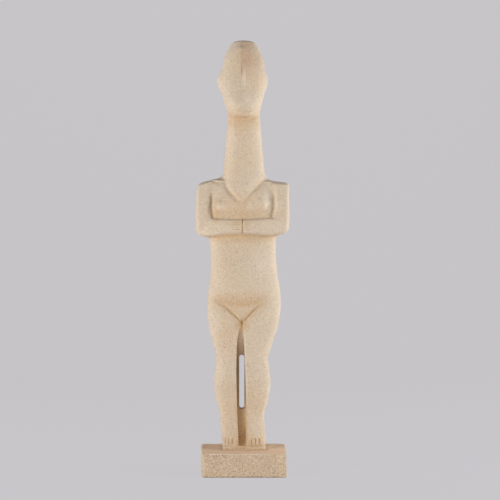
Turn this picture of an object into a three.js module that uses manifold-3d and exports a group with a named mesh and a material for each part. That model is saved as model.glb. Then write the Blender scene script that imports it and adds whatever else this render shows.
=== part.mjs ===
// A standing figure with folded arms and a long neck, carved in one piece on a
// thin foot pad, on a small block base. Millimetres, +Z up. The origin is the
// middle of the block's underside, and the figure looks along -Y.
import * as THREE from 'three';
import Module from 'manifold-3d';
import { LoftGeometry } from 'three/addons/geometries/LoftGeometry.js';
import { mergeVertices } from 'three/addons/utils/BufferGeometryUtils.js';

// Sizes that can be set, in millimetres
const FIGURE_HEIGHT = 368;
const FIGURE_SETBACK = 6;
const PAD_THICKNESS = 3.2;
const PAD_CORNER = 5;
const BASE_WIDTH = 75;
const BASE_DEPTH = 54;
const BASE_HEIGHT = 21;
const BASE_CORNER = 3;
const BASE_WORN_CORNER = 12;
const BASE_BACK_FLARE = 2;
const BASE_BOTTOM_EDGE = 1.8;
const BASE_TOP_EDGE = 0.8;

// The figure is drawn in steps, shares of its own height
const STEPS = 409;
const STEP = FIGURE_HEIGHT / STEPS;
const FRONT = -1;
const BACK = 1;

// How finely the curved surfaces are faceted
const BODY_SIDES = 34;
const HEAD_SIDES = 30;
const NECK_SIDES = 26;
const ARM_SIDES = 16;
const EAR_SIDES = 14;
const CORNER_SEGMENTS = 4;

const figureStone = new THREE.MeshStandardMaterial({ color: 0xd8c0a0, roughness: 0.9, metalness: 0 });
const baseStone = new THREE.MeshStandardMaterial({ color: 0xc4a987, roughness: 0.95, metalness: 0 });

const wasm = await Module();
wasm.setup();

// Joining and cutting

function solid(geometry) {
  const bare = new THREE.BufferGeometry().copy(geometry);
  bare.deleteAttribute('normal');
  bare.deleteAttribute('uv');
  const merged = mergeVertices(bare, 1e-4);
  return new wasm.Manifold(new wasm.Mesh({
    numProp: 3,
    vertProperties: new Float32Array(merged.attributes.position.array),
    triVerts: new Uint32Array(merged.index.array),
  }));
}

function joined(geometries) {
  return geometries.map(solid).reduce((whole, piece) => whole.add(piece));
}

function geometryOf(manifold) {
  const mesh = manifold.getMesh();
  const geometry = new THREE.BufferGeometry();
  geometry.setAttribute('position', new THREE.BufferAttribute(mesh.vertProperties, 3));
  geometry.setIndex(new THREE.BufferAttribute(mesh.triVerts, 1));
  geometry.computeVertexNormals();
  return geometry;
}

// Curves and spacing

// A smooth curve through knots of [place, value] that never swings past them
function through(knots) {
  const last = knots.length - 1;
  const rise = (i) => (knots[i + 1][1] - knots[i][1]) / (knots[i + 1][0] - knots[i][0]);
  const slopes = knots.map((knot, i) => {
    if (i === 0) return rise(0);
    if (i === last) return rise(last - 1);
    const before = rise(i - 1);
    const after = rise(i);
    return before * after > 0 ? (2 * before * after) / (before + after) : 0;
  });
  return (place) => {
    if (place <= knots[0][0]) return knots[0][1];
    if (place >= knots[last][0]) return knots[last][1];
    const i = knots.findIndex((knot) => knot[0] > place) - 1;
    const span = knots[i + 1][0] - knots[i][0];
    const t = (place - knots[i][0]) / span;
    const low = knots[i][1] * (1 + 2 * t) * (1 - t) ** 2 + slopes[i] * span * t * (1 - t) ** 2;
    const high = knots[i + 1][1] * (3 - 2 * t) * t ** 2 + slopes[i + 1] * span * (t - 1) * t ** 2;
    return low + high;
  };
}

// The same for a half width that closes roundly to nothing at an end
function roundThrough(knots) {
  const squared = through(knots.map(([place, value]) => [place, value ** 2]));
  return (place) => Math.sqrt(Math.max(squared(place), 0));
}

function evenly(low, high, count) {
  return Array.from({ length: count }, (_, i) => low + ((high - low) * i) / (count - 1));
}

// Places that crowd together towards the last one
function closing(low, high, count) {
  return evenly(0, Math.PI / 2, count).map((angle) => low + (high - low) * Math.sin(angle));
}

// Sections and lofts

function power(value, exponent) {
  return Math.sign(value) * Math.abs(value) ** exponent;
}

// How deep an oval section is at a share of its half width, as a share of its depth
function fullness(share, squareness) {
  return Math.max(1 - Math.abs(share) ** squareness, 0) ** (1 / squareness);
}

// A level section: an oval of any squareness, deeper or flatter in front than behind
function levelSection(shape, z, sides) {
  const exponent = 2 / shape.squareness;
  return evenly(0, 2 * Math.PI, sides + 1).slice(0, sides).map((angle) => {
    const across = power(Math.cos(angle), exponent);
    const along = power(Math.sin(angle), exponent);
    const depth = along < 0 ? shape.front : shape.back;
    return new THREE.Vector3(shape.x + across * shape.halfWidth, shape.y + along * depth, z);
  });
}

function loft(sections) {
  return new LoftGeometry(sections, { closed: true, capStart: true, capEnd: true });
}

function levelLoft(shapeAt, heights, sides) {
  return loft(heights.map((z) => levelSection(shapeAt(z), z, sides)));
}

// Legs and trunk, from the feet to the line of the shoulders

const bodyX = through([[2, 0.9], [8, 0.2], [32, -1.6], [90, -1.6], [124, -0.1], [160, 0.4], [198, -0.6],
  [262, -0.9]]);
const bodyHalfWidth = through([[2, 21.2], [9, 22.3], [32, 22.1], [48, 26.1], [66, 28.6], [88, 26.3],
  [106, 30.3], [124, 35], [142, 37], [158, 36.1], [171, 33.9], [198, 32.7], [216, 33.5], [245, 36],
  [262, 39], [265.3, 37.2], [266.8, 30], [268.3, 21], [269.4, 12]]);
const bodyFront = through([[2, 12.6], [6, 13.4], [20, 10.8], [33, 9], [50, 10.5], [85, 14], [124, 16.2],
  [141, 16.5], [147, 17.8], [162, 20], [180, 19.6], [205, 17.2], [228, 17], [245, 16], [257, 13.8],
  [266, 9], [269.6, 4]]);
const bodyBack = through([[2, 12.5], [20, 11.5], [33, 10.5], [50, 15], [64, 17.5], [85, 14], [105, 17.5],
  [128, 22], [143, 22.5], [160, 20], [182, 16], [205, 15], [228, 16.5], [248, 17.5], [260, 15.5],
  [266, 11], [269.6, 6]]);
const bodySquareness = through([[2, 3.2], [33, 2.6], [100, 2.7], [160, 2.6], [205, 2.8], [245, 3.4],
  [262, 3.4], [269, 2.6]]);

// The left shoulder stands a little higher than the right one
const SHOULDER_TILT = 0.034;
const TILT_ENDS = [240, 262];

function bodyShape(z) {
  return {
    x: bodyX(z),
    y: 0,
    halfWidth: bodyHalfWidth(z),
    front: bodyFront(z),
    back: bodyBack(z),
    squareness: bodySquareness(z),
  };
}

function bodySurface(x, z, side) {
  const shape = bodyShape(z);
  const depth = side === FRONT ? shape.front : shape.back;
  return side * depth * fullness((x - shape.x) / shape.halfWidth, shape.squareness);
}

function body() {
  const heights = [...evenly(2, 128, 22), ...evenly(134, 254, 18), ...closing(258, 269.4, 6)];
  return loft(heights.map((z) => {
    const tilt = SHOULDER_TILT * THREE.MathUtils.smoothstep(z, ...TILT_ENDS);
    return levelSection(bodyShape(z), z, BODY_SIDES).map((point) => point.setZ(z - tilt * point.x));
  }));
}

// Breasts, two low mounds

const BREASTS = [{ x: -23, z: 240.5 }, { x: 19.5, z: 244 }];
const BREAST_RADIUS = 8.5;
const BREAST_DEPTH = 6;
const BREAST_PROUD = 1.5;

function breast({ x, z }) {
  const y = bodySurface(x, z, FRONT) - BREAST_PROUD + BREAST_DEPTH;
  const mound = new THREE.SphereGeometry(1, 14, 8);
  mound.rotateX(Math.PI / 2);
  return mound.scale(BREAST_RADIUS, BREAST_DEPTH, BREAST_RADIUS).translate(x, y, z);
}

// Upper arms, held close to the sides

const armFront = through([[210.5, 9], [214, 13], [220, 15.5], [245, 16.3], [256, 14.5], [261, 12.2],
  [264.5, 9], [266.4, 4]]);
const armBack = through([[210.5, 8], [214, 12], [222, 14.5], [245, 15], [256, 14.5], [261, 13],
  [264.5, 9.5], [266.4, 5]]);
const ARM_SQUARENESS = 3.2;
const ARMS = [
  {
    outer: through([[210.5, -38.7], [212, -43], [214, -46], [218, -47.8], [230, -48.2], [256, -47.2],
      [259.7, -46.3], [263.7, -43.3], [265.2, -40.3], [266.2, -35.5]]),
    inner: through([[210, -29.8], [228, -29.6], [233, -31.4], [240, -32.6], [262, -33.3]]),
  },
  {
    outer: through([[211.2, 33], [212.9, 37.7], [214.6, 41.9], [217, 43.9], [222, 45], [234, 46.1],
      [258, 45.6], [262, 45.1], [263.4, 43.9], [264.6, 40.5], [265.6, 34.5]]),
    inner: through([[210, 26.6], [229, 26.8], [233, 28.5], [241, 30.1], [262, 30.6]]),
  },
];

function upperArm({ outer, inner }) {
  const shapeAt = (z) => ({
    x: (outer(z) + inner(z)) / 2,
    y: 0,
    halfWidth: Math.abs(outer(z) - inner(z)) / 2,
    front: armFront(z),
    back: armBack(z),
    squareness: ARM_SQUARENESS,
  });
  const heights = [211.5, 213.4, 217, ...evenly(222, 252, 5), ...closing(257, 266, 5)];
  return levelLoft(shapeAt, heights, ARM_SIDES);
}

// Forearms, one band folded level across the belly

const forearmTop = through([[-46.5, 226], [-44, 228.4], [-28, 229], [-2, 228.1], [8, 228.6], [27, 229.5],
  [41, 228.6], [44.4, 225]]);
const forearmBottom = through([[-46.5, 215], [-44, 212.4], [-34, 210.9], [-27, 211.5], [-19, 212.8],
  [-3, 213.3], [10, 212.8], [23, 211.8], [34, 213.6], [41, 215.2], [44.4, 218.5]]);
const forearmFront = through([[-46.5, 10], [-43, 13.8], [-34, 17.2], [-18, 20.4], [-1, 21], [16, 20.4],
  [32, 17.2], [41, 13.8], [44.4, 10]]);
const FOREARM_SQUARENESS = 3;
const FOREARM_ENDS = [-46.5, 44.4];

function forearmSurface(x, z) {
  const middle = (forearmTop(x) + forearmBottom(x)) / 2;
  const halfHeight = (forearmTop(x) - forearmBottom(x)) / 2;
  const halfDepth = forearmFront(x) / 2;
  return -halfDepth * (1 + fullness((z - middle) / halfHeight, FOREARM_SQUARENESS));
}

function forearms() {
  const exponent = 2 / FOREARM_SQUARENESS;
  const sections = evenly(...FOREARM_ENDS, 21).map((x) => {
    const middle = (forearmTop(x) + forearmBottom(x)) / 2;
    const halfHeight = (forearmTop(x) - forearmBottom(x)) / 2;
    const halfDepth = forearmFront(x) / 2;
    return evenly(0, 2 * Math.PI, ARM_SIDES + 1).slice(0, ARM_SIDES).map((angle) => new THREE.Vector3(
      x,
      halfDepth * (power(Math.cos(angle), exponent) - 1),
      middle + halfHeight * power(Math.sin(angle), exponent),
    ));
  });
  return loft(sections);
}

// Neck, whose foot runs down the chest to a point and whose top ends inside the head

const CHIN = 328.4;
const CROWN = STEPS;
const NECK_TOP = CHIN + 9.6;
const neckX = through([[241, -1.2], [248, -2.1], [257, -2.6], [262, -1.6], [268, 0.4], [277, 0.2], [300, 0]]);
const neckHalfWidth = through([[241, 1.5], [244, 4.5], [248.4, 10.5], [257, 18], [262, 20.6], [267, 21.8],
  [269.2, 24.8], [270.6, 23.6], [273, 21.8], [278, 20.6], [298, 19], [318, 17.3], [330, 16.2]]);
const neckFront = through([[241, 15.6], [245, 16.6], [250, 17.3], [257, 17.5], [268, 16.2], [285, 15.4],
  [330, 14.2]]);
const neckBack = through([[241, 10], [262, 12.5], [272, 14], [300, 15], [330, 15.5]]);
const NECK_SQUARENESS = 2.3;

function neck() {
  const shapeAt = (z) => ({
    x: neckX(z),
    y: 0,
    halfWidth: neckHalfWidth(z),
    front: neckFront(z),
    back: neckBack(z),
    squareness: NECK_SQUARENESS,
  });
  const heights = [241, 243.5, 247, 251, 256, 261, 267, 269.2, 270.6, 273, ...evenly(278, NECK_TOP, 6)];
  return levelLoft(shapeAt, heights, NECK_SIDES);
}

// Head, an egg whose face leans back from the chin to the crown

// Its heights are shares of the way from the chin to the crown
const headX = through([[0, 0.8], [0.094, -0.3], [0.293, -0.7], [0.491, -0.8], [0.69, -0.3], [1, -0.3]]);
const headHalfWidth = roundThrough([[0, 0], [0.032, 10.5], [0.082, 15.4], [0.189, 18.7], [0.305, 21.3],
  [0.442, 22.4], [0.591, 21.6], [0.739, 19.9], [0.844, 17.5], [0.901, 15.8], [0.95, 12.9], [0.983, 9.4],
  [1, 0]]);
const headY = through([[0, -13.5], [0.032, -8], [0.082, -2.4], [0.206, -0.3], [0.33, 2], [0.491, 4.2],
  [0.64, 6.1], [0.764, 7.2], [0.888, 7.9], [1, 7.5]]);
const headHalfDepth = roundThrough([[0, 0], [0.032, 10.8], [0.082, 16.9], [0.206, 18.2], [0.33, 17.4],
  [0.491, 16.2], [0.64, 14.4], [0.764, 12], [0.888, 8.4], [0.95, 5.4], [0.983, 3.6], [1, 0]]);
const HEAD_SQUARENESS = 2.15;

function headHeight(share) {
  return CHIN + (CROWN - CHIN) * share;
}

function headShape(z) {
  const share = (z - CHIN) / (CROWN - CHIN);
  return {
    x: headX(share),
    y: headY(share),
    halfWidth: headHalfWidth(share),
    front: headHalfDepth(share),
    back: headHalfDepth(share),
    squareness: HEAD_SQUARENESS,
  };
}

function faceSurface(x, z) {
  const shape = headShape(z);
  return shape.y - shape.front * fullness((x - shape.x) / shape.halfWidth, shape.squareness);
}

function head() {
  const shares = [0.001, 0.008, 0.026, 0.058, ...evenly(0.1, 0.84, 13), ...closing(0.89, 0.999, 6)];
  return levelLoft(headShape, shares.map(headHeight), HEAD_SIDES);
}

// Ears, pointed swellings whose middles lie inside the head
const EARS = [{ x: -14, reach: 13.1 }, { x: 13, reach: 11.5 }];
const EAR_HEIGHT = headHeight(0.494);
const EAR_ABOVE = 12.8;
const EAR_BELOW = 16.4;
const EAR_HALF_DEPTH = 7;
const EAR_SETBACK = 3.5;
const EAR_POINTEDNESS = 1.7;

function ear({ x, reach }) {
  return levelLoft((z) => {
    const end = z > EAR_HEIGHT ? EAR_ABOVE : EAR_BELOW;
    const share = Math.sqrt(1 - (Math.abs(z - EAR_HEIGHT) / end) ** EAR_POINTEDNESS);
    return {
      x,
      y: EAR_SETBACK,
      halfWidth: reach * share,
      front: EAR_HALF_DEPTH * share,
      back: EAR_HALF_DEPTH * share,
      squareness: 2,
    };
  }, evenly(EAR_HEIGHT - 0.98 * EAR_BELOW, EAR_HEIGHT + 0.98 * EAR_ABOVE, 14), EAR_SIDES);
}

const NOSE_X = -0.8;
const NOSE_TIP = headHeight(0.385);
const NOSE_LENGTH = 31.6;
const noseHalfWidth = through([[0, 3.8], [0.11, 3], [0.4, 2], [1, 1]]);
const noseProud = through([[0, 1.8], [0.1, 2.2], [0.4, 1.8], [1, 0.2]]);
const NOSE_ROOT = 1.5;
const NOSE_RIDGE_SHARE = 0.4;

function nose() {
  const sections = [0, ...evenly(0.05, 1, 6)].map((share) => {
    const z = NOSE_TIP + NOSE_LENGTH * share;
    const half = noseHalfWidth(share);
    const ridge = half * NOSE_RIDGE_SHARE;
    const face = faceSurface(NOSE_X, z);
    return [
      new THREE.Vector3(NOSE_X - ridge, face - noseProud(share), z),
      new THREE.Vector3(NOSE_X + ridge, face - noseProud(share), z),
      new THREE.Vector3(NOSE_X + half, face + NOSE_ROOT, z),
      new THREE.Vector3(NOSE_X - half, face + NOSE_ROOT, z),
    ];
  });
  return loft(sections);
}

const MOUTH = { x: -1.8, z: headHeight(0.338), halfWidth: 5, halfHeight: 0.7, depth: 0.9 };

function mouth() {
  const slit = new THREE.SphereGeometry(1, 10, 6).rotateX(Math.PI / 2);
  slit.scale(MOUTH.halfWidth, MOUTH.depth, MOUTH.halfHeight);
  return slit.translate(MOUTH.x, faceSurface(MOUTH.x, MOUTH.z), MOUTH.z);
}

// Pad under the feet, part of the carved figure

const PAD_X = 1;
const PAD_HALF_WIDTH = 21.2;
const PAD_FRONT = 15;
const PAD_BACK = 13.5;

// A level rounded rectangle, with its own radius at each corner
function roundedRectangle(left, right, front, back, radii, z) {
  const corners = [
    { x: left, y: front, turn: Math.PI },
    { x: right, y: front, turn: 1.5 * Math.PI },
    { x: right, y: back, turn: 0 },
    { x: left, y: back, turn: 0.5 * Math.PI },
  ];
  return corners.flatMap(({ x, y, turn }, i) => {
    const radius = radii[i];
    const middleX = x === left ? left + radius : right - radius;
    const middleY = y === front ? front + radius : back - radius;
    return evenly(turn, turn + Math.PI / 2, CORNER_SEGMENTS + 1).map((angle) => new THREE.Vector3(
      middleX + radius * Math.cos(angle),
      middleY + radius * Math.sin(angle),
      z,
    ));
  });
}

function pad() {
  const radius = PAD_CORNER / STEP;
  const radii = [radius, radius, radius, radius];
  const outline = [PAD_X - PAD_HALF_WIDTH, PAD_X + PAD_HALF_WIDTH, -PAD_FRONT, PAD_BACK];
  return loft([0, PAD_THICKNESS / STEP].map((z) => roundedRectangle(...outline, radii, z)));
}

// Channel between the legs, with a web at its bottom and a slot through the web

const PAD_TOP = PAD_THICKNESS / STEP;
const CHANNEL_TOP = 121.4;
const channelX = through([[4, -1.2], [47, -1.8], [77, -2.5], [92, -2.8], [107, -2.9], [CHANNEL_TOP, -1.6]]);
const channelHalfWidth = through([[4, 3.8], [17, 4.1], [47, 4.5], [77, 4.2], [92, 3.7], [107, 3],
  [115, 2], [CHANNEL_TOP, 0.6]]);
const WEB_FRONT = -3;
const WEB_BACK = 5;
const CHANNEL_FLARE = 1.2;
const CHANNEL_TAPER = 1;
const CHANNEL_LIP = 2.5;
const BACK_CHANNEL_SHARE = 0.75;
const OUTSIDE = 30;

function channel(side, web, share) {
  const sections = [PAD_TOP, ...evenly(9, 109, 11), 114, 118.5, CHANNEL_TOP].map((z) => {
    const x = channelX(z);
    const half = channelHalfWidth(z) * share;
    const narrow = half - Math.min(CHANNEL_TAPER, half / 2);
    const surface = Math.abs(bodySurface(x, z, side));
    const line = [
      [half + CHANNEL_FLARE, OUTSIDE],
      [half + CHANNEL_FLARE, surface + 0.5],
      [half, surface - CHANNEL_LIP],
      [narrow, web * side],
    ];
    const right = line.map(([across, depth]) => new THREE.Vector3(x + across, side * depth, z));
    const left = line.map(([across, depth]) => new THREE.Vector3(x - across, side * depth, z)).reverse();
    const outline = [...right, ...left];
    return side === FRONT ? outline : outline.reverse();
  });
  return loft(sections);
}

const SLOT = { x: -1.4, halfWidth: 2.6, low: 39.6, high: 93.2 };

function slot() {
  const outline = new THREE.Shape();
  outline.absarc(SLOT.x, SLOT.high - SLOT.halfWidth, SLOT.halfWidth, 0, Math.PI);
  outline.absarc(SLOT.x, SLOT.low + SLOT.halfWidth, SLOT.halfWidth, Math.PI, 2 * Math.PI);
  outline.closePath();
  const options = { depth: 2 * OUTSIDE, bevelEnabled: false, curveSegments: 7 };
  const cutter = new THREE.ExtrudeGeometry(outline, options);
  return cutter.rotateX(Math.PI / 2).translate(0, OUTSIDE, 0);
}

// Carved lines: a V-shaped cut that follows a surface

// The path's points are [x, z]; the cut fades out at a soft end
function carvedLine(path, surface, side, width, depth) {
  const points = path.map(([x, z]) => new THREE.Vector3(x, 0, z));
  const curve = new THREE.CatmullRomCurve3(points);
  const count = Math.max(3, Math.ceil(curve.getLength() / LINE_PITCH) + 1);
  const sections = evenly(0, 1, count).map((t) => {
    const point = curve.getPoint(t);
    const tangent = curve.getTangent(t);
    const across = new THREE.Vector3(tangent.z, 0, -tangent.x).multiplyScalar(width);
    const y = surface(point.x, point.z, side);
    const mouthLeft = point.clone().sub(across).setY(y + side * depth);
    const mouthRight = point.clone().add(across).setY(y + side * depth);
    const bottom = point.clone().setY(y - side * depth);
    return side === FRONT ? [mouthRight, bottom, mouthLeft] : [mouthRight, mouthLeft, bottom];
  });
  return loft(sections);
}

const LINE_PITCH = 9;
const GROIN_LINES = [
  [[-25, 146.5], [-14, 138], [-2.2, 124.6]],
  [[19.5, 145.5], [10, 137], [-0.4, 124.6]],
];
const FINGERTIP_LINE = [[-1, 227.6], [-1, 213.8]];
const FINGER_HEIGHTS = [224.4, 221.6, 218.8, 216];
const FINGER_SPANS = [[-9.5, -2.2], [0.4, 6.5]];
const TOE_LINES = [-18, -14.8, -10.8, 8.2, 12.2, 16.2];
const TOE_SPAN = [PAD_TOP, 8.2];
const SPINE_LINE = [[-0.6, 262], [-0.4, 215], [0, 175]];
const CLEFT_LINE = [[0, 152], [-0.8, 138], [-1.6, 119]];

function carvedLines() {
  const groins = GROIN_LINES.map((path) => carvedLine(path, bodySurface, FRONT, 1.5, 1.6));
  const fingertips = carvedLine(FINGERTIP_LINE, forearmSurface, FRONT, 1, 1.6);
  const fingers = FINGER_SPANS.flatMap(([start, end]) => FINGER_HEIGHTS.map((z) => (
    carvedLine([[start, z], [end, z]], forearmSurface, FRONT, 0.55, 0.55)
  )));
  const toes = TOE_LINES.map((x) => (
    carvedLine([[x, TOE_SPAN[0]], [x, TOE_SPAN[1]]], bodySurface, FRONT, 0.6, 0.9)
  ));
  const spine = carvedLine(SPINE_LINE, bodySurface, BACK, 2.2, 1.1);
  const cleft = carvedLine(CLEFT_LINE, bodySurface, BACK, 1.8, 2.2);
  return [...groins, fingertips, ...fingers, ...toes, spine, cleft];
}

function figurine() {
  const added = joined([
    body(),
    ...BREASTS.map(breast),
    ...ARMS.map(upperArm),
    forearms(),
    neck(),
    head(),
    ...EARS.map(ear),
    nose(),
    pad(),
  ]);
  const cut = joined([
    channel(FRONT, WEB_FRONT, 1),
    channel(BACK, WEB_BACK, BACK_CHANNEL_SHARE),
    slot(),
    mouth(),
    ...carvedLines(),
  ]);
  const mesh = new THREE.Mesh(geometryOf(added.subtract(cut)).scale(STEP, STEP, STEP), figureStone);
  mesh.name = 'figurine';
  mesh.position.set(0, FIGURE_SETBACK, BASE_HEIGHT);
  return mesh;
}

// Block base: a plain block with eased edges, its front right corner rubbed round and its left end
// cut a little askew, so that it reaches farther out at the back

function blockSection(inset, z) {
  const share = THREE.MathUtils.smoothstep(z, 0, BASE_HEIGHT);
  const worn = BASE_CORNER + (BASE_WORN_CORNER - BASE_CORNER) * share;
  const right = BASE_WIDTH / 2 - inset;
  const back = BASE_DEPTH / 2 - inset;
  const radii = [BASE_CORNER, worn, BASE_CORNER, BASE_CORNER];
  return roundedRectangle(-right, right, -back, back, radii, z).map((point) => {
    const leftShare = Math.max(-point.x / right, 0);
    const backShare = (point.y + back) / (2 * back);
    return point.setX(point.x - BASE_BACK_FLARE * leftShare * backShare);
  });
}

function baseBlock() {
  const quarter = evenly(0, Math.PI / 2, 4);
  const bottom = quarter.map((angle) => blockSection(
    BASE_BOTTOM_EDGE * (1 - Math.sin(angle)),
    BASE_BOTTOM_EDGE * (1 - Math.cos(angle)),
  ));
  const middle = [0.35, 0.6, 0.8].map((share) => blockSection(0, BASE_HEIGHT * share));
  const top = quarter.map((angle) => blockSection(
    BASE_TOP_EDGE * (1 - Math.cos(angle)),
    BASE_HEIGHT - BASE_TOP_EDGE * (1 - Math.sin(angle)),
  ));
  const mesh = new THREE.Mesh(geometryOf(solid(loft([...bottom, ...middle, ...top]))), baseStone);
  mesh.name = 'base_block';
  return mesh;
}

const statuette = new THREE.Group();
statuette.add(baseBlock(), figurine());

export default statuette;
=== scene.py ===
"""Dresses the packed figurine and its block base as carved sandy stone.

The figure is one closed mesh, worked out as a field of distances from the same curves as the
frame's solid and then polished onto it. Geometry Nodes carve the rows of fingers and toes, make
the block and strew its broken faces with grains. Lengths in the figure's own curves are steps:
409 of them from the underside of the foot pad to the crown.
"""

import math

import bpy
import numpy as np
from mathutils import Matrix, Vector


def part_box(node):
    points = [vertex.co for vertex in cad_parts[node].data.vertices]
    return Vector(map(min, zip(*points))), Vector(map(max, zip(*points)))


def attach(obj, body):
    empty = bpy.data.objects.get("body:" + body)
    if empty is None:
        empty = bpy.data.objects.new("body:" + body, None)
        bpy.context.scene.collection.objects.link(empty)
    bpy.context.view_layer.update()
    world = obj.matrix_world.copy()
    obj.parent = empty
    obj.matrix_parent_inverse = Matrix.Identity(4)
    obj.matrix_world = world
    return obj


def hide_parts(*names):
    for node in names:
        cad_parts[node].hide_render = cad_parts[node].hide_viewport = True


bl_info = {
    "name": "Folded-arm figurine on a block",
    "version": (1, 0, 0),
    "blender": (4, 5, 0),
    "location": "View3D > Sidebar > Figurine",
    "description": "Builds a carved stone figurine, its block base and a plain studio",
    "category": "Object",
}

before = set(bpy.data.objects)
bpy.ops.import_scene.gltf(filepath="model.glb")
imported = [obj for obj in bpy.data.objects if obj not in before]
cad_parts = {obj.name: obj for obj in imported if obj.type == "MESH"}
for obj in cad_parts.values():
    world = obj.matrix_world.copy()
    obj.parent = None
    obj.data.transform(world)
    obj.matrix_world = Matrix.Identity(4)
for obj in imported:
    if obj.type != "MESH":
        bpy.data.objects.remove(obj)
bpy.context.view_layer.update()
FIGURE_LOW, FIGURE_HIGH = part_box("figurine")
BLOCK_LOW, BLOCK_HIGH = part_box("base_block")

STEPS = 409.0
FRONT = -1
BACK = 1


def srgb(red, green, blue):
    """A linear colour from the 0 to 255 numbers of a colour picker."""
    parts = [value / 255 for value in (red, green, blue)]
    return tuple(p / 12.92 if p <= 0.04045 else ((p + 0.055) / 1.055) ** 2.4 for p in parts)


# Settings


def length(name, description, default):
    return bpy.props.FloatProperty(name=name, description=description, default=default, unit="LENGTH")


def picked_colour(name, description, red, green, blue):
    return bpy.props.FloatVectorProperty(
        name=name, description=description, subtype="COLOR", min=0, max=1, default=srgb(red, green, blue))


class FigureSettings(bpy.types.PropertyGroup):
    """Sizes of the carved figure."""

    height: length("Height", "From the underside of the foot pad to the crown", FIGURE_HIGH.z - FIGURE_LOW.z)
    setback: length("Setback", "How far the figure's axis stands behind the block's middle", 0.006)
    spacing: length("Spacing", "Grid spacing of the field that the surface is drawn from", 0.0006)
    triangles: bpy.props.IntProperty(
        name="Triangles", description="Faces left after the flat stretches are thinned", default=190000)
    unevenness: length("Unevenness", "How far the hand-rubbed surface dips below its curves", 0.0004)
    pits: bpy.props.IntProperty(name="Pits", description="Open pores in the surface", default=260)


class CarvingSettings(bpy.types.PropertyGroup):
    """The rows of lines that mark fingers and toes."""

    finger_depth: length("Finger depth", "Depth of the lines between the fingers", 0.0006)
    finger_width: length("Finger width", "Half width of the lines between the fingers", 0.00065)
    toe_depth: length("Toe depth", "Depth of the lines between the toes", 0.0011)
    toe_width: length("Toe width", "Half width of the lines between the toes", 0.00052)


class BlockSettings(bpy.types.PropertyGroup):
    """Sizes of the block base."""

    width: length("Width", "Front face from side to side", 2 * BLOCK_HIGH.x - 0.0004)
    sideways: length("Sideways", "How far the front face stands to the right of the middle", 0.0008)
    back_lift: length("Back lift", "How much higher the top face is at the back", 0.0005)
    depth: length("Depth", "From front to back", BLOCK_HIGH.y - BLOCK_LOW.y)
    height: length("Height", "From the shelf to the top face", BLOCK_HIGH.z)
    corner: length("Corner", "Radius of the upright corners", 0.003)
    worn_corner: length("Worn corner", "Radius of the front right corner at its top", 0.012)
    back_flare: length("Back flare", "How much farther the left end reaches at the back", 0.0036)
    edge: length("Edge", "Radius of the level edges", 0.0015)
    skin: length("Skin", "How far the faces stand back for the grains", 0.00022)
    spacing: length("Spacing", "Size of the block's faces", 0.00052)
    roughness: length("Roughness", "How deep the broken faces are pocked", 0.0009)
    grains: bpy.props.FloatProperty(
        name="Grains", description="Loose light grains on each square metre of the broken faces",
        default=700000.0)
    grain_size: length("Grain size", "Radius of the largest grains", 0.00058)


class StoneSettings(bpy.types.PropertyGroup):
    """Colours of the stone."""

    figure: picked_colour("Figure", "Rubbed surface of the figure", 221, 200, 174)
    # Painted shade: the colour laid in creases, undercuts and the leg channel
    hollow: picked_colour("Hollow Shade", "Stone in creases and undercuts", 148, 110, 64)
    # Painted shade and warm reflected glow along carved lines, in creases and under the chin and forearms
    rust: picked_colour("Shade Glow", "Orange stain along carved lines and under the chin", 194, 145, 62)
    block: picked_colour("Block", "Broken faces of the block", 213, 184, 152)
    light_grain: picked_colour("Light grain", "Pale grains in the stone", 240, 226, 206)
    dark_grain: picked_colour("Dark grain", "Brown grains and open pores", 128, 96, 64)


class StudioSettings(bpy.types.PropertyGroup):
    """Camera, lights and backdrop."""

    distance: length("Distance", "From the camera to the block's middle", 1.052)
    eye_height: length("Eye height", "Camera height above the shelf", 0.19895)
    offset: length("Offset", "Camera to the right of the block's middle", 0.0056)
    lens: bpy.props.FloatProperty(
        name="Lens", description="Focal length on a 36 mm sensor", default=84.6, unit="CAMERA")
    backdrop: picked_colour("Backdrop", "Paper sweep behind and below", 199, 197, 200)
    key: bpy.props.FloatProperty(name="Key", description="Soft box at the left, in watts", default=10.8)
    rim: bpy.props.FloatProperty(name="Rim", description="Soft box at the right, in watts", default=14.5)
    fill: bpy.props.FloatProperty(
        name="Fill", description="Large soft box behind the camera, in watts", default=7.2)


def settings(name):
    return getattr(bpy.context.scene, name)


# Curves of the figure, in steps


def through(knots):
    """A smooth curve through knots of (place, value) that never swings past them."""
    places = np.array([place for place, _ in knots], float)
    values = np.array([value for _, value in knots], float)
    rise = np.diff(values) / np.diff(places)
    before, after = rise[:-1], rise[1:]
    agree = before * after > 0
    inner = np.where(agree, 2 * before * after / np.where(agree, before + after, 1), 0)
    slopes = np.concatenate([rise[:1], inner, rise[-1:]])

    def curve(place, run_on=False):
        place = np.asarray(place, float)
        held = np.clip(place, places[0], places[-1])
        i = np.clip(np.searchsorted(places, held, "right") - 1, 0, len(places) - 2)
        span = places[i + 1] - places[i]
        t = (held - places[i]) / span
        low = values[i] * (1 + 2 * t) * (1 - t) ** 2 + slopes[i] * span * t * (1 - t) ** 2
        high = values[i + 1] * (3 - 2 * t) * t ** 2 + slopes[i + 1] * span * (t - 1) * t ** 2
        if not run_on:
            return low + high
        ends = np.where(place < places[0], slopes[0], slopes[-1])
        return low + high + ends * (place - held)

    return curve


def round_through(knots):
    """The square of a half width that closes roundly to nothing at an end."""
    return through([(place, value ** 2) for place, value in knots])


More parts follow.
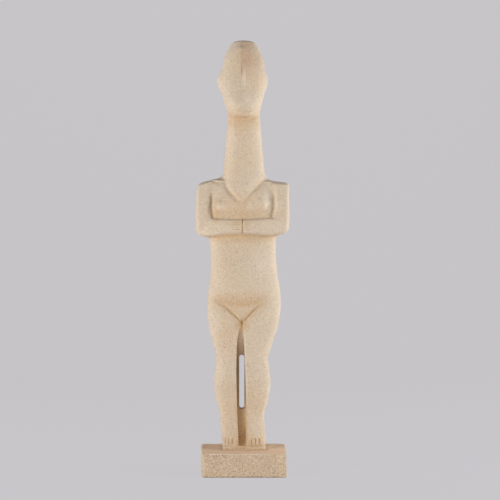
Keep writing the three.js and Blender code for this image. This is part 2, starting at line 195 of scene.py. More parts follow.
body_x = through([(2, 0.5), (8, 0.1), (32, -1.6), (90, -1.6), (117, -0.7), (128, -0.1), (160, 0.4),
                  (198, -0.7), (207, -1), (262, -0.9)])
body_half_width = through([
    (2, 20.9), (9, 22.2), (32, 22.1), (48, 26.1), (66, 28.6), (88, 26.3), (106, 30.3), (117, 33.6),
    (124, 35.1), (142, 37), (158, 36.1), (171, 33.9), (198, 32.7), (207, 33.2), (216, 33.6), (245, 36),
    (262, 39), (266, 38.4), (268.5, 33), (270.4, 24)])
body_front = through([
    (2, 12.6), (6, 13.4), (20, 10.8), (33, 9), (50, 10.5), (85, 14), (124, 16.2), (141, 16.5),
    (147, 17.8), (162, 20), (180, 19.6), (205, 17.2), (228, 17), (245, 16), (257, 13.8), (266, 9),
    (270.6, 4)])
body_back = through([
    (2, 12.5), (20, 11.5), (33, 10.5), (50, 15), (64, 17.5), (85, 14), (105, 17.5), (128, 22),
    (143, 22.5), (160, 20), (182, 16), (205, 15), (228, 16.5), (248, 17.5), (260, 15.5), (266, 11),
    (270.6, 6)])
body_squareness = through([(2, 3.2), (33, 2.6), (100, 2.7), (160, 2.6), (205, 2.8), (245, 3.4),
                           (262, 3.4), (269, 2.6)])
BODY_ENDS = (1.0, 270.8)
shoulder_line = through([(-48.2, 260), (-46.4, 262.8), (-44.4, 264.8), (-40.3, 266.1), (-36.3, 267.1),
                         (-28.3, 269.2), (-20, 270.4), (15, 269.6), (24, 268.1), (28.7, 267.2),
                         (36.7, 266.3), (43.2, 265.6), (45.3, 263.7), (46.8, 260)])
SHOULDER_FALL = 0.012
SHOULDER_TILT = 0.034

BREASTS = [(-23, 240.5), (19.5, 244)]
BREAST_RADIUS = 7.4
BREAST_PROUD = 2.8
BREAST_BOX = 18.0

arm_front = through([(210.5, 9), (214, 13), (220, 15.5), (245, 16.3), (256, 14.5), (261, 12.2),
                     (264.5, 9), (266.4, 4)])
arm_back = through([(210.5, 8), (214, 12), (222, 14.5), (245, 15), (256, 14.5), (261, 13), (264.5, 9.5),
                    (266.4, 5)])
ARM_SQUARENESS = 4.2
ARMS = [
    (through([(210.5, -39), (212, -43.7), (214, -46.3), (218, -47.8), (230, -48.2), (256, -47.2),
              (260.2, -46.5), (264.4, -43.6), (266.1, -40.4), (267.2, -35.5)]),
     through([(210, -29.9), (228, -29.7), (233, -31.4), (240, -32.7), (262, -33.4)]),
     (210.2, 267.4)),
    (through([(211.2, 33), (212.9, 37.7), (214.6, 41.9), (217, 44.2), (222, 45.3), (234, 45.9),
              (256, 45.4), (260.6, 44.9), (262.9, 43.9), (264.8, 40.5), (266.2, 34.5)]),
     through([(210, 26.4), (229, 26.6), (233, 28.3), (241, 29.8), (262, 30.4)]),
     (210.8, 266.6)),
]

forearm_top = through([(-46.5, 226), (-44, 228.5), (-28, 229.4), (-2, 228.5), (8, 229), (27, 229.9),
                       (41, 228.8), (44.4, 225)])
forearm_bottom = through([(-46.5, 215), (-44, 212.4), (-34, 210.9), (-27, 211.5), (-19, 212.8),
                          (-3, 213.3), (10, 212.8), (23, 211.8), (34, 213.6), (41, 215.2), (44.4, 218.5)])
forearm_front = through([(-46.5, 10), (-43, 13.8), (-34, 17.2), (-18, 20.4), (-1, 21), (16, 20.4),
                         (32, 17.2), (41, 13.8), (44.4, 10)])
FOREARM_SQUARENESS = 3.8
FOREARM_ENDS = (-46.6, 44.5)
FOREARM_EDGE = 2.5
FOREARM_BLEND = 0.8

neck_x = through([(241, -1.2), (248, -2.1), (257, -2.6), (262, -1.6), (268, 0.4), (277, 0.2), (300, 0)])
neck_half_width = through([(241, 1.5), (244, 4.5), (248.4, 10.5), (257, 18), (262, 20.6), (268, 21.8),
                           (277, 20.7), (298, 19), (318, 17.3), (330, 16.2)])
neck_front = through([(241, 14.4), (245, 15.8), (250, 16.8), (257, 17.0), (268, 16), (285, 15.4),
                      (330, 14.2)])
neck_back = through([(241, 10), (262, 12.5), (272, 14), (300, 15), (330, 15.5)])
NECK_SQUARENESS = 2.3
NECK_BLEND = 0.9
NECK_FILLET = 5.6
NECK_ENDS = (240.5, 341.0)
NECK_EDGES = [
    [(-20, 264, 0), (-14.9, 256.3, 1), (-6.9, 247.4, 1), (-3, 242.8, 0.6)],
    [(21, 264.5, 0), (14.5, 259.8, 1), (5.9, 251.2, 1), (1.6, 245.8, 0.9), (-1.5, 242.6, 0.6)],
]

CROWN = STEPS
CHIN = 328.4
head_x = through([(CHIN, 0.8), (336, -0.3), (352, -0.7), (368, -0.8), (384, -0.3), (CROWN, -0.3)])
head_width_squared = round_through([
    (CHIN, 0), (331, 10.5), (335, 15.4), (343.6, 18.7), (353, 21.3), (364, 22.4), (376, 22),
    (388, 20.5), (393.3, 18.8), (398.3, 16.6), (401.4, 14.8), (404.4, 13), (406.2, 11.5), (407.6, 9.6),
    (CROWN, 0)])
head_y = through([(CHIN, -13.5), (331, -8), (335, -2.4), (345, -0.3), (355, 2), (368, 4.2), (380, 6.1),
                  (390, 7.2), (400, 7.9), (CROWN, 7.5)])
head_depth_squared = round_through([
    (CHIN, 0), (331, 10.8), (335, 16.9), (345, 18.2), (355, 17.4), (368, 16.2), (380, 14.4), (390, 12),
    (400, 8.6), (404.4, 6.2), (407.4, 3.9), (CROWN, 0)])
HEAD_SQUARENESS = 2.15

EARS = [(-14, 13.1), (13, 11.5)]
EAR_Y = 3.5
EAR_Z = 368.2
EAR_HALF_DEPTH = 7.0
EAR_ABOVE = 12.8
EAR_BELOW = 16.4
EAR_POINTEDNESS = 1.7
BROW_KEEL_X = -2.3
BROW_KEEL_LEAN = 0.07
BROW_MIDDLE = 386.0
brow_keel = through([(355, 0), (368, 0.6), (380, 1.8), (398, 2), (CROWN, 0.4)])
BROW_KEEL_HALF_WIDTH = 13.0

NOSE_X = 0.3
NOSE_TIP = 361.2
NOSE_TOP = 386.0
nose_half_width = through([(NOSE_TIP, 2.9), (366, 2.1), (374, 1.4), (NOSE_TOP, 1.2)])
nose_proud = through([(NOSE_TIP, 0.5), (366, 1.1), (373, 1.3), (378, 0.7), (NOSE_TOP, 0)])
NOSE_CREASE = [(-1.6, 390, 0.2), (-1.3, 381, 0.8), (-1.2, 374, 1), (-1, 371, 0.7)]
NOSTRILS = [[(-4.6, 360.2, 0.6), (-3, 359.6, 0.8)], [(2.2, 359.8, 0.8), (3.6, 360.4, 0.5)]]
CHIN_LINE = [(-16.5, 336.1, 0.4), (-14.6, 333.4, 1), (-9, 330, 1), (0, 328.6, 1), (8, 329.3, 1),
             (13.5, 331.8, 1), (17, 335.1, 0.4)]
MOUTH_PATH = [(-5.6, 355.6, 0.5), (-1.8, 356, 1), (2, 355.8, 0.5)]

PAD_THICKNESS = 3.5
PAD_MIDDLE = (0.2, -0.75)
PAD_HALF = (21.2, 14.25)
PAD_CORNER = 5.5
PAD_EDGE = 2.6
PAD_BLEND = 2.4

CHANNEL_TOP = 121.4
channel_x = through([(4, -1.2), (25, -1.6), (47, -2.1), (77, -2.8), (92, -3), (107, -2.9),
                     (CHANNEL_TOP, -1.8)])
channel_half_width = through([(4, 3.8), (17, 4.1), (47, 4.7), (77, 4.6), (92, 4.2), (107, 3.6), (115, 2.8),
                              (119.4, 2), (CHANNEL_TOP, 1)])
web_front = through([(3.5, -11.5), (6, -8.8), (10, -6.4), (18, -4.7), (36, -4.5), (50, -3.5), (88, -3.5),
                     (97, -6), (107, -9.6), (113, -12.2), (CHANNEL_TOP, -15.4)])
channel_shade = through([(4, 0), (8, 0.03), (13, 0.16), (19, 0.06), (25, 0.18), (50, 0.5), (90, 0.55),
                         (107, 0.3), (114, 0.4), (CHANNEL_TOP, 0.6)])
web_back = through([(4, 5), (CHANNEL_TOP, 5)])
CHANNEL_FLARE = 1.0
CHANNEL_TAPER = 1.0
CHANNEL_EDGE = 1.1
BACK_CHANNEL_SHARE = 0.75
SLOT_X = -2.0
SLOT_HALF_WIDTH = 2.6
SLOT_ENDS = (39.6, 93.2)
SLOT_EDGE = 0.9

GROIN_PATHS = [
    [(-27.5, 147.6, 0.2), (-20, 143.2, 0.7), (-14, 138.3, 0.9), (-8, 132.4, 1), (-2.6, 126, 1)],
    [(21.5, 147.2, 0.2), (14.5, 142, 0.7), (10, 138, 0.9), (5, 132.4, 1), (-0.4, 126, 1)],
]
crease_line = through([(-27, 149), (-18, 145.8), (-10, 143.9), (-1, 143.1), (9, 144), (14, 145.4),
                       (20, 148.4)])
CREASE_ENDS = (-31.0, 24.0)
CREASE_FADE = 8.0
CREASE_DEPTH = 1.9
PUBIC_RECESS = 0.6
FINGERTIP_PATH = [(-1, 228.4, 0.8), (-1, 214.6, 0.8)]
SLIT_PATH = [(-1.5, 131, 0.4), (-1.6, 128, 1), (-1.7, 122, 1), (-1.9, 117, 0.5)]
ARM_LINES = [
    ([(-33, 260, 0), (-33, 250, 0.8), (-32, 238, 1), (-30.9, 229.5, 1)], 0.36),
    ([(29.7, 254, 0), (29.4, 244, 0.7), (28.1, 229.5, 1)], 0.16),
]
UNDER_ARM_PATH = [(-33, 209.5, 0.6), (-25, 210.4, 1), (-15, 211.8, 1), (0, 212.2, 1), (12, 211.6, 1),
                  (23, 210.6, 1), (32, 211.5, 0.6)]
SOLE_PATH = [(4.5, 3.5, 0.4), (9, 3.4, 1), (16, 4.0, 1), (19, 4.6, 0.3)]
SPINE_PATH = [(-0.6, 266, 0.3), (-0.4, 250, 1), (-0.4, 215, 1), (0, 172, 0.3)]
CLEFT_PATH = [(0, 153, 0), (-0.8, 140, 1), (-1.6, 119, 1)]

# Dips of the rubbed surface: pace along x, y and z, shift, share of the depth
DIPS = [
    (0.31, 0.23, 0.17, 0.4, 0.36),
    (0.19, 0.37, 0.29, 1.9, 0.26),
    (0.47, 0.41, 0.53, 3.1, 0.21),
    (0.83, 0.7, 0.61, 5.0, 0.17),
]

# Grooves: path, half width, depth, sharpness of the bottom
ARM_GROOVES = [
    *((path, 3.4, 0.7, 1.3) for path in NECK_EDGES),
    *((path, 1.3, depth, 1.0) for path, depth in ARM_LINES),
    (UNDER_ARM_PATH, 2.6, 1.0, 1.3),
]
GROIN_GROOVES = [(path, 2.5, 1.9, 1.0) for path in GROIN_PATHS]
FINE_GROOVES = [
    (FINGERTIP_PATH, 1.0, 1.7, 1.0),
    (SLIT_PATH, 2.0, 1.3, 1.0),
    (MOUTH_PATH, 1.3, 0.55, 1.0),
    (NOSE_CREASE, 1.2, 0.9, 1.0),
    *((path, 1.5, 0.5, 1.0) for path in NOSTRILS),
    (CHIN_LINE, 2.8, 1.0, 1.3),
]
SOLE_GROOVES = [(SOLE_PATH, 1.2, 1.0, 1.0)]
BACK_GROOVES = [(SPINE_PATH, 3.2, 2.0, 1.4), (CLEFT_PATH, 2.4, 2.6, 1.0)]


# Field of the figure: distance in steps, below nothing inside the stone


class Field:
    """A grid of distances that solids are joined to and cut from."""

    REACH = 6.0

    def __init__(self, spacing):
        low = np.array([-51.0, -25.0, -2.4])
        high = np.array([49.0, 27.0, 411.0])
        self.spacing = spacing
        self.low = low
        counts = np.ceil((high - low) / spacing).astype(int) + 1
        self.x, self.y, self.z = (low[k] + spacing * np.arange(counts[k]) for k in range(3))
        self.values = np.full(counts, self.REACH, np.float32)

    def block(self, low, high):
        """Slices and open grids of the part between two corners."""
        parts, grids = [], []
        for k, line in enumerate((self.x, self.y, self.z)):
            start = max(np.searchsorted(line, low[k]) - 1, 0)
            stop = min(np.searchsorted(line, high[k]) + 1, len(line))
            parts.append(slice(start, stop))
            shape = [1, 1, 1]
            shape[k] = -1
            grids.append(line[start:stop].reshape(shape))
        return tuple(parts), grids

    def distance(self, level):
        """First-order distance from a level set that grows inwards."""
        slopes = np.gradient(level, self.spacing)
        steep = np.sqrt(sum(s * s for s in slopes)) + 1e-3
        return np.clip(-level / steep, -self.REACH, self.REACH)

    def join(self, parts, distance, blend):
        self.values[parts] = smooth_least(self.values[parts], distance, blend)

    def cut(self, parts, distance, blend):
        self.values[parts] = -smooth_least(-self.values[parts], distance, blend)


def smooth_least(a, b, blend):
    share = np.clip(0.5 + 0.5 * (b - a) / blend, 0, 1)
    return (b + (a - b) * share - blend * share * (1 - share)).astype(np.float32)


def between(distance, place, ends, blend):
    """A distance capped by two flat ends."""
    outside = np.maximum(ends[0] - place, place - ends[1])
    return -smooth_least(-distance, -outside, blend)


def level_oval(x, y, middle, half_squared, ratio_front, ratio_back, squareness):
    """Level set of a section: half width squared less the squared reach of the point."""
    across = np.abs(x - middle[0])
    along = y - middle[1]
    along = np.abs(along) * np.where(along < 0, ratio_front, ratio_back)
    reach = (across ** squareness + along ** squareness) ** (1 / squareness)
    return half_squared - reach * reach


def add_trunk(field):
    parts, (x, y, z) = field.block((-45, -24, BODY_ENDS[0] - 3), (45, 26, BODY_ENDS[1] + 3))
    half = body_half_width(z)
    level = level_oval(x, y, (body_x(z), 0), half ** 2, half / body_front(z), half / body_back(z),
                       body_squareness(z))
    trunk = between(field.distance(level), z, BODY_ENDS, 2.0)
    tilt = SHOULDER_TILT * np.clip((z - 240) / 22, 0, 1) * x
    slope = np.gradient(trunk, field.spacing, axis=2)
    field.join(parts, trunk + tilt * slope, 0.5)


def add_arms(field):
    for outer, inner, ends in ARMS:
        parts, (x, y, z) = field.block((-51, -20, ends[0] - 4), (49, 19, ends[1] + 4))
        half = np.abs(outer(z) - inner(z)) / 2
        middle = (outer(z) + inner(z)) / 2
        level = level_oval(x, y, (middle, 0), half ** 2, half / arm_front(z), half / arm_back(z),
                           ARM_SQUARENESS)
        shoulder = 3.0 + 5.9 * np.clip((z - 250) / 12, 0, 1)
        field.join(parts, between(field.distance(level), z, ends, 2.0), shoulder)


def trim_shoulders(field):
    """Takes off what stands above the line of the shoulders."""
    parts, (x, y, z) = field.block((-51, -25, 255), (49, 27, 275))
    roof = shoulder_line(x) - SHOULDER_FALL * y ** 2
    field.cut(parts, roof - z, 2.4)


def add_forearms(field):
    parts, (x, y, z) = field.block((FOREARM_ENDS[0] - 3, -25, 206), (FOREARM_ENDS[1] + 3, 4, 234))
    middle = (forearm_top(x) + forearm_bottom(x)) / 2
    half = (forearm_top(x) - forearm_bottom(x)) / 2
    depth = forearm_front(x) / 2
    level = level_oval(z, y, (middle, -depth), half ** 2, half / depth, half / depth, FOREARM_SQUARENESS)
    field.join(parts, between(field.distance(level), x, FOREARM_ENDS, FOREARM_EDGE), FOREARM_BLEND)


def add_neck(field):
    """The neck, with a wider fillet where its sides meet the tops of the shoulders."""
    parts, (x, y, z) = field.block((-26, -22, NECK_ENDS[0] - 3), (27, 20, NECK_ENDS[1] + 3))
    half = neck_half_width(z)
    level = level_oval(x, y, (neck_x(z), 0), half ** 2, half / neck_front(z), half / neck_back(z),
                       NECK_SQUARENESS)
    beside = NECK_FILLET * np.clip((np.abs(x) - 15) / 6, 0, 1) * np.clip((z - 258) / 8, 0, 1)
    inside = np.clip((9.5 - np.abs(y - 1)) / 7, 0, 1)
    field.join(parts, between(field.distance(level), z, NECK_ENDS, 1.0), NECK_BLEND + beside * inside)


def add_head(field):
    parts, (x, y, z) = field.block((-32, -25, CHIN - 6), (30, 26, CROWN + 3))
    width_squared = head_width_squared(z, run_on=True)
    held = np.clip(z, CHIN + 0.5, CROWN - 0.5)
    ratio = np.sqrt(head_width_squared(held) / head_depth_squared(held))
    level = level_oval(x, y, (head_x(z), head_y(z)), width_squared, ratio, ratio, HEAD_SQUARENESS)
    field.join(parts, field.distance(level), 1.2)
    for ear_x, reach in EARS:
        parts, (x, y, z) = field.block((-32, -8, EAR_Z - EAR_BELOW - 3), (30, 15, EAR_Z + EAR_ABOVE + 3))
        rise = np.abs(z - EAR_Z) / np.where(z > EAR_Z, EAR_ABOVE, EAR_BELOW)
        level = 1 - ((x - ear_x) / reach) ** 2 - ((y - EAR_Y) / EAR_HALF_DEPTH) ** 2 - rise ** EAR_POINTEDNESS
        field.join(parts, field.distance(level), 2.5)


def add_pad(field):
    parts, (x, y, z) = field.block((-24, -19, -2.4), (26, 17, 8))
    dx = np.abs(x - PAD_MIDDLE[0]) - PAD_HALF[0] + PAD_CORNER
    dy = np.abs(y - PAD_MIDDLE[1]) - PAD_HALF[1] + PAD_CORNER
    distance = np.sqrt(np.maximum(dx, 0) ** 2 + np.maximum(dy, 0) ** 2) \
        + np.minimum(np.maximum(dx, dy), 0) - PAD_CORNER
    field.join(parts, between(distance + 0 * z, z, (-3, PAD_THICKNESS), PAD_EDGE), PAD_BLEND)


def cut_leg_channel(field):
    for side, web, share in ((FRONT, web_front, 1.0), (BACK, web_back, BACK_CHANNEL_SHARE)):
        parts, (x, y, z) = field.block((-12, -25, PAD_THICKNESS - 4), (10, 27, CHANNEL_TOP + 4))
        skin = body_front(z) if side == FRONT else body_back(z)
        below_skin = np.clip(skin - side * y, 0, 12)
        half = channel_half_width(z) * share + CHANNEL_FLARE * np.exp(-below_skin / 1.2)
        half = half - np.minimum(CHANNEL_TAPER, half / 2) * np.clip(below_skin / 9, 0, 1)
        walls = np.abs(x - channel_x(z)) - half
        floor = side * (web(z) - y)
        ends = np.maximum(PAD_THICKNESS - z, z - CHANNEL_TOP)
        cutter = -smooth_least(-np.maximum(walls, ends), -floor, 1.2)
        field.cut(parts, cutter, CHANNEL_EDGE)


def cut_slot(field):
    parts, (x, y, z) = field.block((-8, -25, 34), (6, 27, 99))
    middle = sum(SLOT_ENDS) / 2
    straight = (SLOT_ENDS[1] - SLOT_ENDS[0]) / 2 - SLOT_HALF_WIDTH
    past = np.maximum(np.abs(z - middle) - straight, 0)
    cutter = np.sqrt((x - SLOT_X) ** 2 + past ** 2) - SLOT_HALF_WIDTH
    field.cut(parts, cutter + 0 * y, SLOT_EDGE)


def path_depth(path, x, z, width, sharp):
    """How deep a groove is at each place: 1 on a full-depth line of (x, z, depth share) points."""
    deepest = np.zeros(np.broadcast(x, z).shape)
    for (x0, z0, share0), (x1, z1, share1) in zip(path[:-1], path[1:]):
        dx, dz = x1 - x0, z1 - z0
        along = np.clip(((x - x0) * dx + (z - z0) * dz) / (dx * dx + dz * dz), 0, 1)
        reach = np.sqrt((x - x0 - along * dx) ** 2 + (z - z0 - along * dz) ** 2)
        full = share0 + (share1 - share0) * along
        deepest = np.maximum(deepest, full * (1 - np.clip(reach / width, 0, 1) ** sharp))
    return deepest


def carve_all(field, grooves, side):
    """Grooves along paths on the front or the back."""
    y_low, y_high = (-25, -1) if side == FRONT else (1, 27)
    for path, width, depth, sharp in grooves:
        xs, zs, _ = zip(*path)
        low = (min(xs) - width - 1, y_low, min(zs) - width - 1)
        high = (max(xs) + width + 1, y_high, max(zs) + width + 1)
        parts, (x, y, z) = field.block(low, high)
        fade = np.clip((side * y - 1) / 3, 0, 1)
        field.values[parts] += (depth * path_depth(path, x, z, width, sharp) * fade).astype(np.float32)


def sink_triangle(field):
    """Lets the field between the belly crease and the groin lines lie a little lower."""
    parts, (x, y, z) = field.block((-30, -25, 120), (24, -1, 150))
    right, left = 22.5, -29.0
    wide = np.where(x < -1, (x - left) / (-1 - left), (right - x) / (right + 1))
    low = 124 + 23 * (1 - wide)
    high = 147 - 4 * wide
    inside = np.clip((z - low) / 2.5, 0, 1) * np.clip((high - z) / 2.5, 0, 1)
    field.values[parts] += (PUBIC_RECESS * inside).astype(np.float32)


def crease_share(x, z):
    """How far the belly tucks in: slowly from above and sharply from below the crease."""
    above = z - crease_line(x)
    profile = np.where(above > 0, np.clip(1 - above / 14, 0, 1) ** 1.8, np.clip(1 + above / 2.6, 0, 1))
    left, right = (np.clip(reach / CREASE_FADE, 0, 1) for reach in (x - CREASE_ENDS[0], CREASE_ENDS[1] - x))
    return profile * left * right


def tuck_belly(field):
    parts, (x, y, z) = field.block((CREASE_ENDS[0], -25, 138), (CREASE_ENDS[1], -1, 165))
    field.values[parts] += (CREASE_DEPTH * crease_share(x, z)).astype(np.float32)


def raise_brow(field):
    """A soft upright keel from the nose to the crown."""
    parts, (x, y, z) = field.block((-18, -25, 340), (17, 6, CROWN))
    keel_x = BROW_KEEL_X + BROW_KEEL_LEAN * (BROW_MIDDLE - z)
    off = np.sqrt((x - keel_x) ** 2 + 0.6) - 0.77
    share = np.clip(1 - off / BROW_KEEL_HALF_WIDTH, 0, 1)
    fade = np.clip((2 - y) / 5, 0, 1)
    field.values[parts] -= (brow_keel(z) * share * fade).astype(np.float32)


def raise_nose(field):
    parts, (x, y, z) = field.block((-9, -25, NOSE_TIP - 3), (8, 6, NOSE_TOP + 2))
    across = np.abs(x - NOSE_X) / nose_half_width(z)
    profile = np.clip(1 - across ** 1.35, 0, 1)
    under = np.clip((z - NOSE_TIP + 0.7) / 1.1, 0, 1)
    fade = np.clip((2 - y) / 4, 0, 1)
    field.values[parts] -= (nose_proud(z) * profile * under * fade).astype(np.float32)


def raise_breasts(field):
    for middle_x, middle_z in BREASTS:
        parts, (x, y, z) = field.block((middle_x - BREAST_BOX, -25, middle_z - BREAST_BOX),
                                       (middle_x + BREAST_BOX, -4, middle_z + BREAST_BOX))
        squared = ((x - middle_x) ** 2 + (z - middle_z) ** 2) / BREAST_RADIUS ** 2
        fade = np.clip((-y - 4) / 4, 0, 1)
        field.values[parts] -= (BREAST_PROUD * np.exp(-squared) * fade).astype(np.float32)


def rub_unevenly(field, amount):
    """Long soft dips, as left by hand rubbing, no deeper than the amount."""
    x, y, z = (line.reshape(shape) for line, shape in zip(
        (field.x, field.y, field.z), ((-1, 1, 1), (1, -1, 1), (1, 1, -1))))
    for a, b, c, shift, share in DIPS:
        wave = np.sin(a * x + shift + 0.6 * np.sin(c * 0.6 * z)) * np.sin(b * y + 2 * shift) \
            * np.sin(c * z + 3 * shift + 0.5 * np.sin(a * x))
        field.values += (amount * share * (1 + wave) / 2).astype(np.float32)


def figure_field(spacing, unevenness):
    field = Field(spacing)
    add_trunk(field)
    add_arms(field)
    trim_shoulders(field)
    add_neck(field)
    add_head(field)
    raise_brow(field)
    raise_breasts(field)
    carve_all(field, ARM_GROOVES, FRONT)
    add_forearms(field)
    raise_nose(field)
    sink_triangle(field)
    carve_all(field, GROIN_GROOVES, FRONT)
    tuck_belly(field)
    carve_all(field, FINE_GROOVES, FRONT)
    carve_all(field, BACK_GROOVES, BACK)
    rub_unevenly(field, unevenness)
    cut_leg_channel(field)
    cut_slot(field)
    add_pad(field)
    carve_all(field, SOLE_GROOVES, FRONT)
    under = -field.z.reshape(1, 1, -1)
    field.values = np.maximum(field.values, under.astype(np.float32))
    return field


# From the field to a mesh


def read_grid(field, values, places):
    """Values on the field's grid and their slopes at any places, read between grid points."""
    spot = (places - field.low) / field.spacing
    top = np.array(values.shape) - 2
    cell = np.clip(np.floor(spot).astype(int), 0, top)
    t = spot - cell
    i, j, k = cell.T
    corner = {}
    for a in (0, 1):
        for b in (0, 1):
            for c in (0, 1):
                corner[a, b, c] = values[i + a, j + b, k + c].astype(float)
    u, v, w = t.T
    value = np.zeros(len(places))
    slope = np.zeros((len(places), 3))
    for (a, b, c), held in corner.items():
        fu, fv, fw = (u if a else 1 - u), (v if b else 1 - v), (w if c else 1 - w)
        value += held * fu * fv * fw
        slope[:, 0] += held * (1 if a else -1) * fv * fw
        slope[:, 1] += held * fu * (1 if b else -1) * fw
        slope[:, 2] += held * fu * fv * (1 if c else -1)
    return value, slope / field.spacing


def settle(field, places, rounds=2):
    """Slides points along the slope until they lie on the surface."""
    for _ in range(rounds):
        value, slope = read_grid(field, field.values, places)
        steep = np.maximum((slope ** 2).sum(1), 0.2)
        move = np.clip(value / steep, -field.spacing, field.spacing)
        places = places - slope * move[:, None]
    return places


def surface_of(field):
    """One quad for each grid edge that crosses the surface, round one point in each cell."""
    inside = field.values < 0
    cells = tuple(n - 1 for n in inside.shape)
    mixed = np.zeros(cells, bool)
    first = inside[:-1, :-1, :-1]
    offsets = [(a, b, c) for a in (0, 1) for b in (0, 1) for c in (0, 1)]
    for a, b, c in offsets:
        mixed |= inside[a:a + cells[0], b:b + cells[1], c:c + cells[2]] != first
    index = np.full(cells, -1, np.int32)
    spots = np.argwhere(mixed)
    index[mixed] = np.arange(len(spots))
    total = np.zeros((len(spots), 3))
    count = np.zeros(len(spots))
    for start in offsets:
        for axis in range(3):
            if start[axis]:
                continue
            end = list(start)
            end[axis] = 1
            here = field.values[tuple((spots + start).T)].astype(float)
            there = field.values[tuple((spots + end).T)].astype(float)
            cross = (here < 0) != (there < 0)
            share = np.where(cross, here / np.where(cross, here - there, 1), 0)
            point = np.tile(np.array(start, float), (len(spots), 1))
            point[:, axis] += share
            total += np.where(cross[:, None], point, 0)
            count += cross
    places = field.low + (spots + total / count[:, None]) * field.spacing
    quads = []
    for axis in range(3):
        u, v = (axis + 1) % 3, (axis + 2) % 3
        low = [slice(None)] * 3
        high = [slice(None)] * 3
        low[axis], high[axis] = slice(None, -1), slice(1, None)
        cross = inside[tuple(low)] != inside[tuple(high)]
        at = np.argwhere(cross)
        at = at[(at[:, u] > 0) & (at[:, v] > 0)]
        ring = []
        for du, dv in ((0, 0), (1, 0), (1, 1), (0, 1)):
            cell = at.copy()
            cell[:, u] -= du
            cell[:, v] -= dv
            ring.append(index[tuple(cell.T)])
        ring = np.stack(ring, 1)
        leaves = inside[tuple(at.T)]
        ring[~leaves] = ring[~leaves][:, ::-1]
        quads.append(ring)
    return places, np.concatenate(quads)


def mesh_from(name, places, faces):
    """A mesh from arrays of places and of equal-sided faces."""
    mesh = bpy.data.meshes.new(name)
    sides = faces.shape[1]
    mesh.vertices.add(len(places))
    mesh.vertices.foreach_set("co", places.astype(np.float32).ravel())
    mesh.loops.add(faces.size)
    mesh.loops.foreach_set("vertex_index", faces.astype(np.int32).ravel())
    mesh.polygons.add(len(faces))
    mesh.polygons.foreach_set("loop_start", np.arange(0, faces.size, sides, dtype=np.int32))
    mesh.polygons.foreach_set("use_smooth", np.ones(len(faces), bool))
    mesh.update(calc_edges=True)
    mesh.validate()
    return mesh


def evaluated_mesh(piece):
    bpy.context.view_layer.update()
    return bpy.data.meshes.new_from_object(piece.evaluated_get(bpy.context.evaluated_depsgraph_get()))


def put_in_scene(name, mesh):
    piece = bpy.data.objects.new(name, mesh)
    bpy.context.scene.collection.objects.link(piece)
    return piece


# Node trees


class Socket:
    """An output in a node tree that adds, subtracts, multiplies and divides like a number."""

    def __init__(self, tree, output):
        self.tree = tree
        self.output = output

    def __add__(self, other):
        return self.tree.math("ADD", self, other)

    def __sub__(self, other):
        return self.tree.math("SUBTRACT", self, other)

    def __rsub__(self, other):
        return self.tree.math("SUBTRACT", other, self)

    def __mul__(self, other):
        return self.tree.math("MULTIPLY", self, other)

    def __truediv__(self, other):
        return self.tree.math("DIVIDE", self, other)


class Outputs:
    """The outputs of one node, by name or by number."""

    def __init__(self, tree, node):
        self.tree = tree
        self.node = node

    def __getitem__(self, key):
        return Socket(self.tree, self.node.outputs[key])


class Tree:
    """A short way to add and link nodes."""

    def __init__(self, tree):
        self.tree = tree

    def node(self, kind, links=None, **options):
        made = self.tree.nodes.new(kind)
        for key, value in options.items():
            setattr(made, key, value)
        for key, value in (links or {}).items():
            self.feed(made.inputs[key], value)
        return Outputs(self, made)

    def feed(self, socket, value):
        if isinstance(value, Socket):
            self.tree.links.new(value.output, socket)
        else:
            socket.default_value = value

    def math(self, operation, *terms, clamp=False):
        return self.node("ShaderNodeMath", dict(enumerate(terms)), operation=operation, use_clamp=clamp)[0]

    def vector(self, operation, *terms):
        return self.node("ShaderNodeVectorMath", dict(enumerate(terms)), operation=operation)["Vector"]

    def scaled(self, vector, factor):
        return self.node("ShaderNodeVectorMath", {0: vector, "Scale": factor}, operation="SCALE")["Vector"]

    def parts(self, vector):
        split = self.node("ShaderNodeSeparateXYZ", {0: vector})
        return split[0], split[1], split[2]

    def joined(self, x, y, z):
        return self.node("ShaderNodeCombineXYZ", {0: x, 1: y, 2: z})[0]

    def ramp(self, value, low, high, out_low=0.0, out_high=1.0, smooth=False):
        return self.node("ShaderNodeMapRange", {
            "Value": value, "From Min": low, "From Max": high, "To Min": out_low, "To Max": out_high},
            interpolation_type="SMOOTHSTEP" if smooth else "LINEAR")["Result"]

    def noise(self, place, scale, detail, roughness=0.5):
        return self.node("ShaderNodeTexNoise", {
            "Vector": place, "Scale": scale, "Detail": detail, "Roughness": roughness})

    def colour(self, red, green, blue):
        return self.node("ShaderNodeCombineColor", {0: red, 1: green, 2: blue})[0]

    def mix(self, share, a, b, blend="MIX"):
        return self.node("ShaderNodeMix", {0: share, 6: a, 7: b}, data_type="RGBA", blend_type=blend)[2]

    def tinted(self, share, colour, tint):
        """A colour that is multiplied by a tint where the share is 1."""
        return self.mix(share, colour, self.mix(1.0, colour, tint, "MULTIPLY"))

    def group(self, tree, links):
        return self.node("ShaderNodeGroup", links, node_tree=tree)

    def result(self, values):
        """Feeds the group's outputs by name and gives back the group."""
        sink = self.tree.nodes.new("NodeGroupOutput")
        for label, value in values.items():
            self.feed(sink.inputs[label], value)
        return self.tree

    def solid(self, geometry, material):
        """Ends a geometry tree in real, smooth geometry with its material."""
        real = self.node("GeometryNodeRealizeInstances", {0: geometry})[0]
        smooth = self.node("GeometryNodeSetShadeSmooth", {0: real})[0]
        done = self.node("GeometryNodeSetMaterial", {0: smooth, "Material": material})[0]
        return self.result({"Geometry": done})


SOCKET_KINDS = {float: "Float", int: "Int", bool: "Bool"}


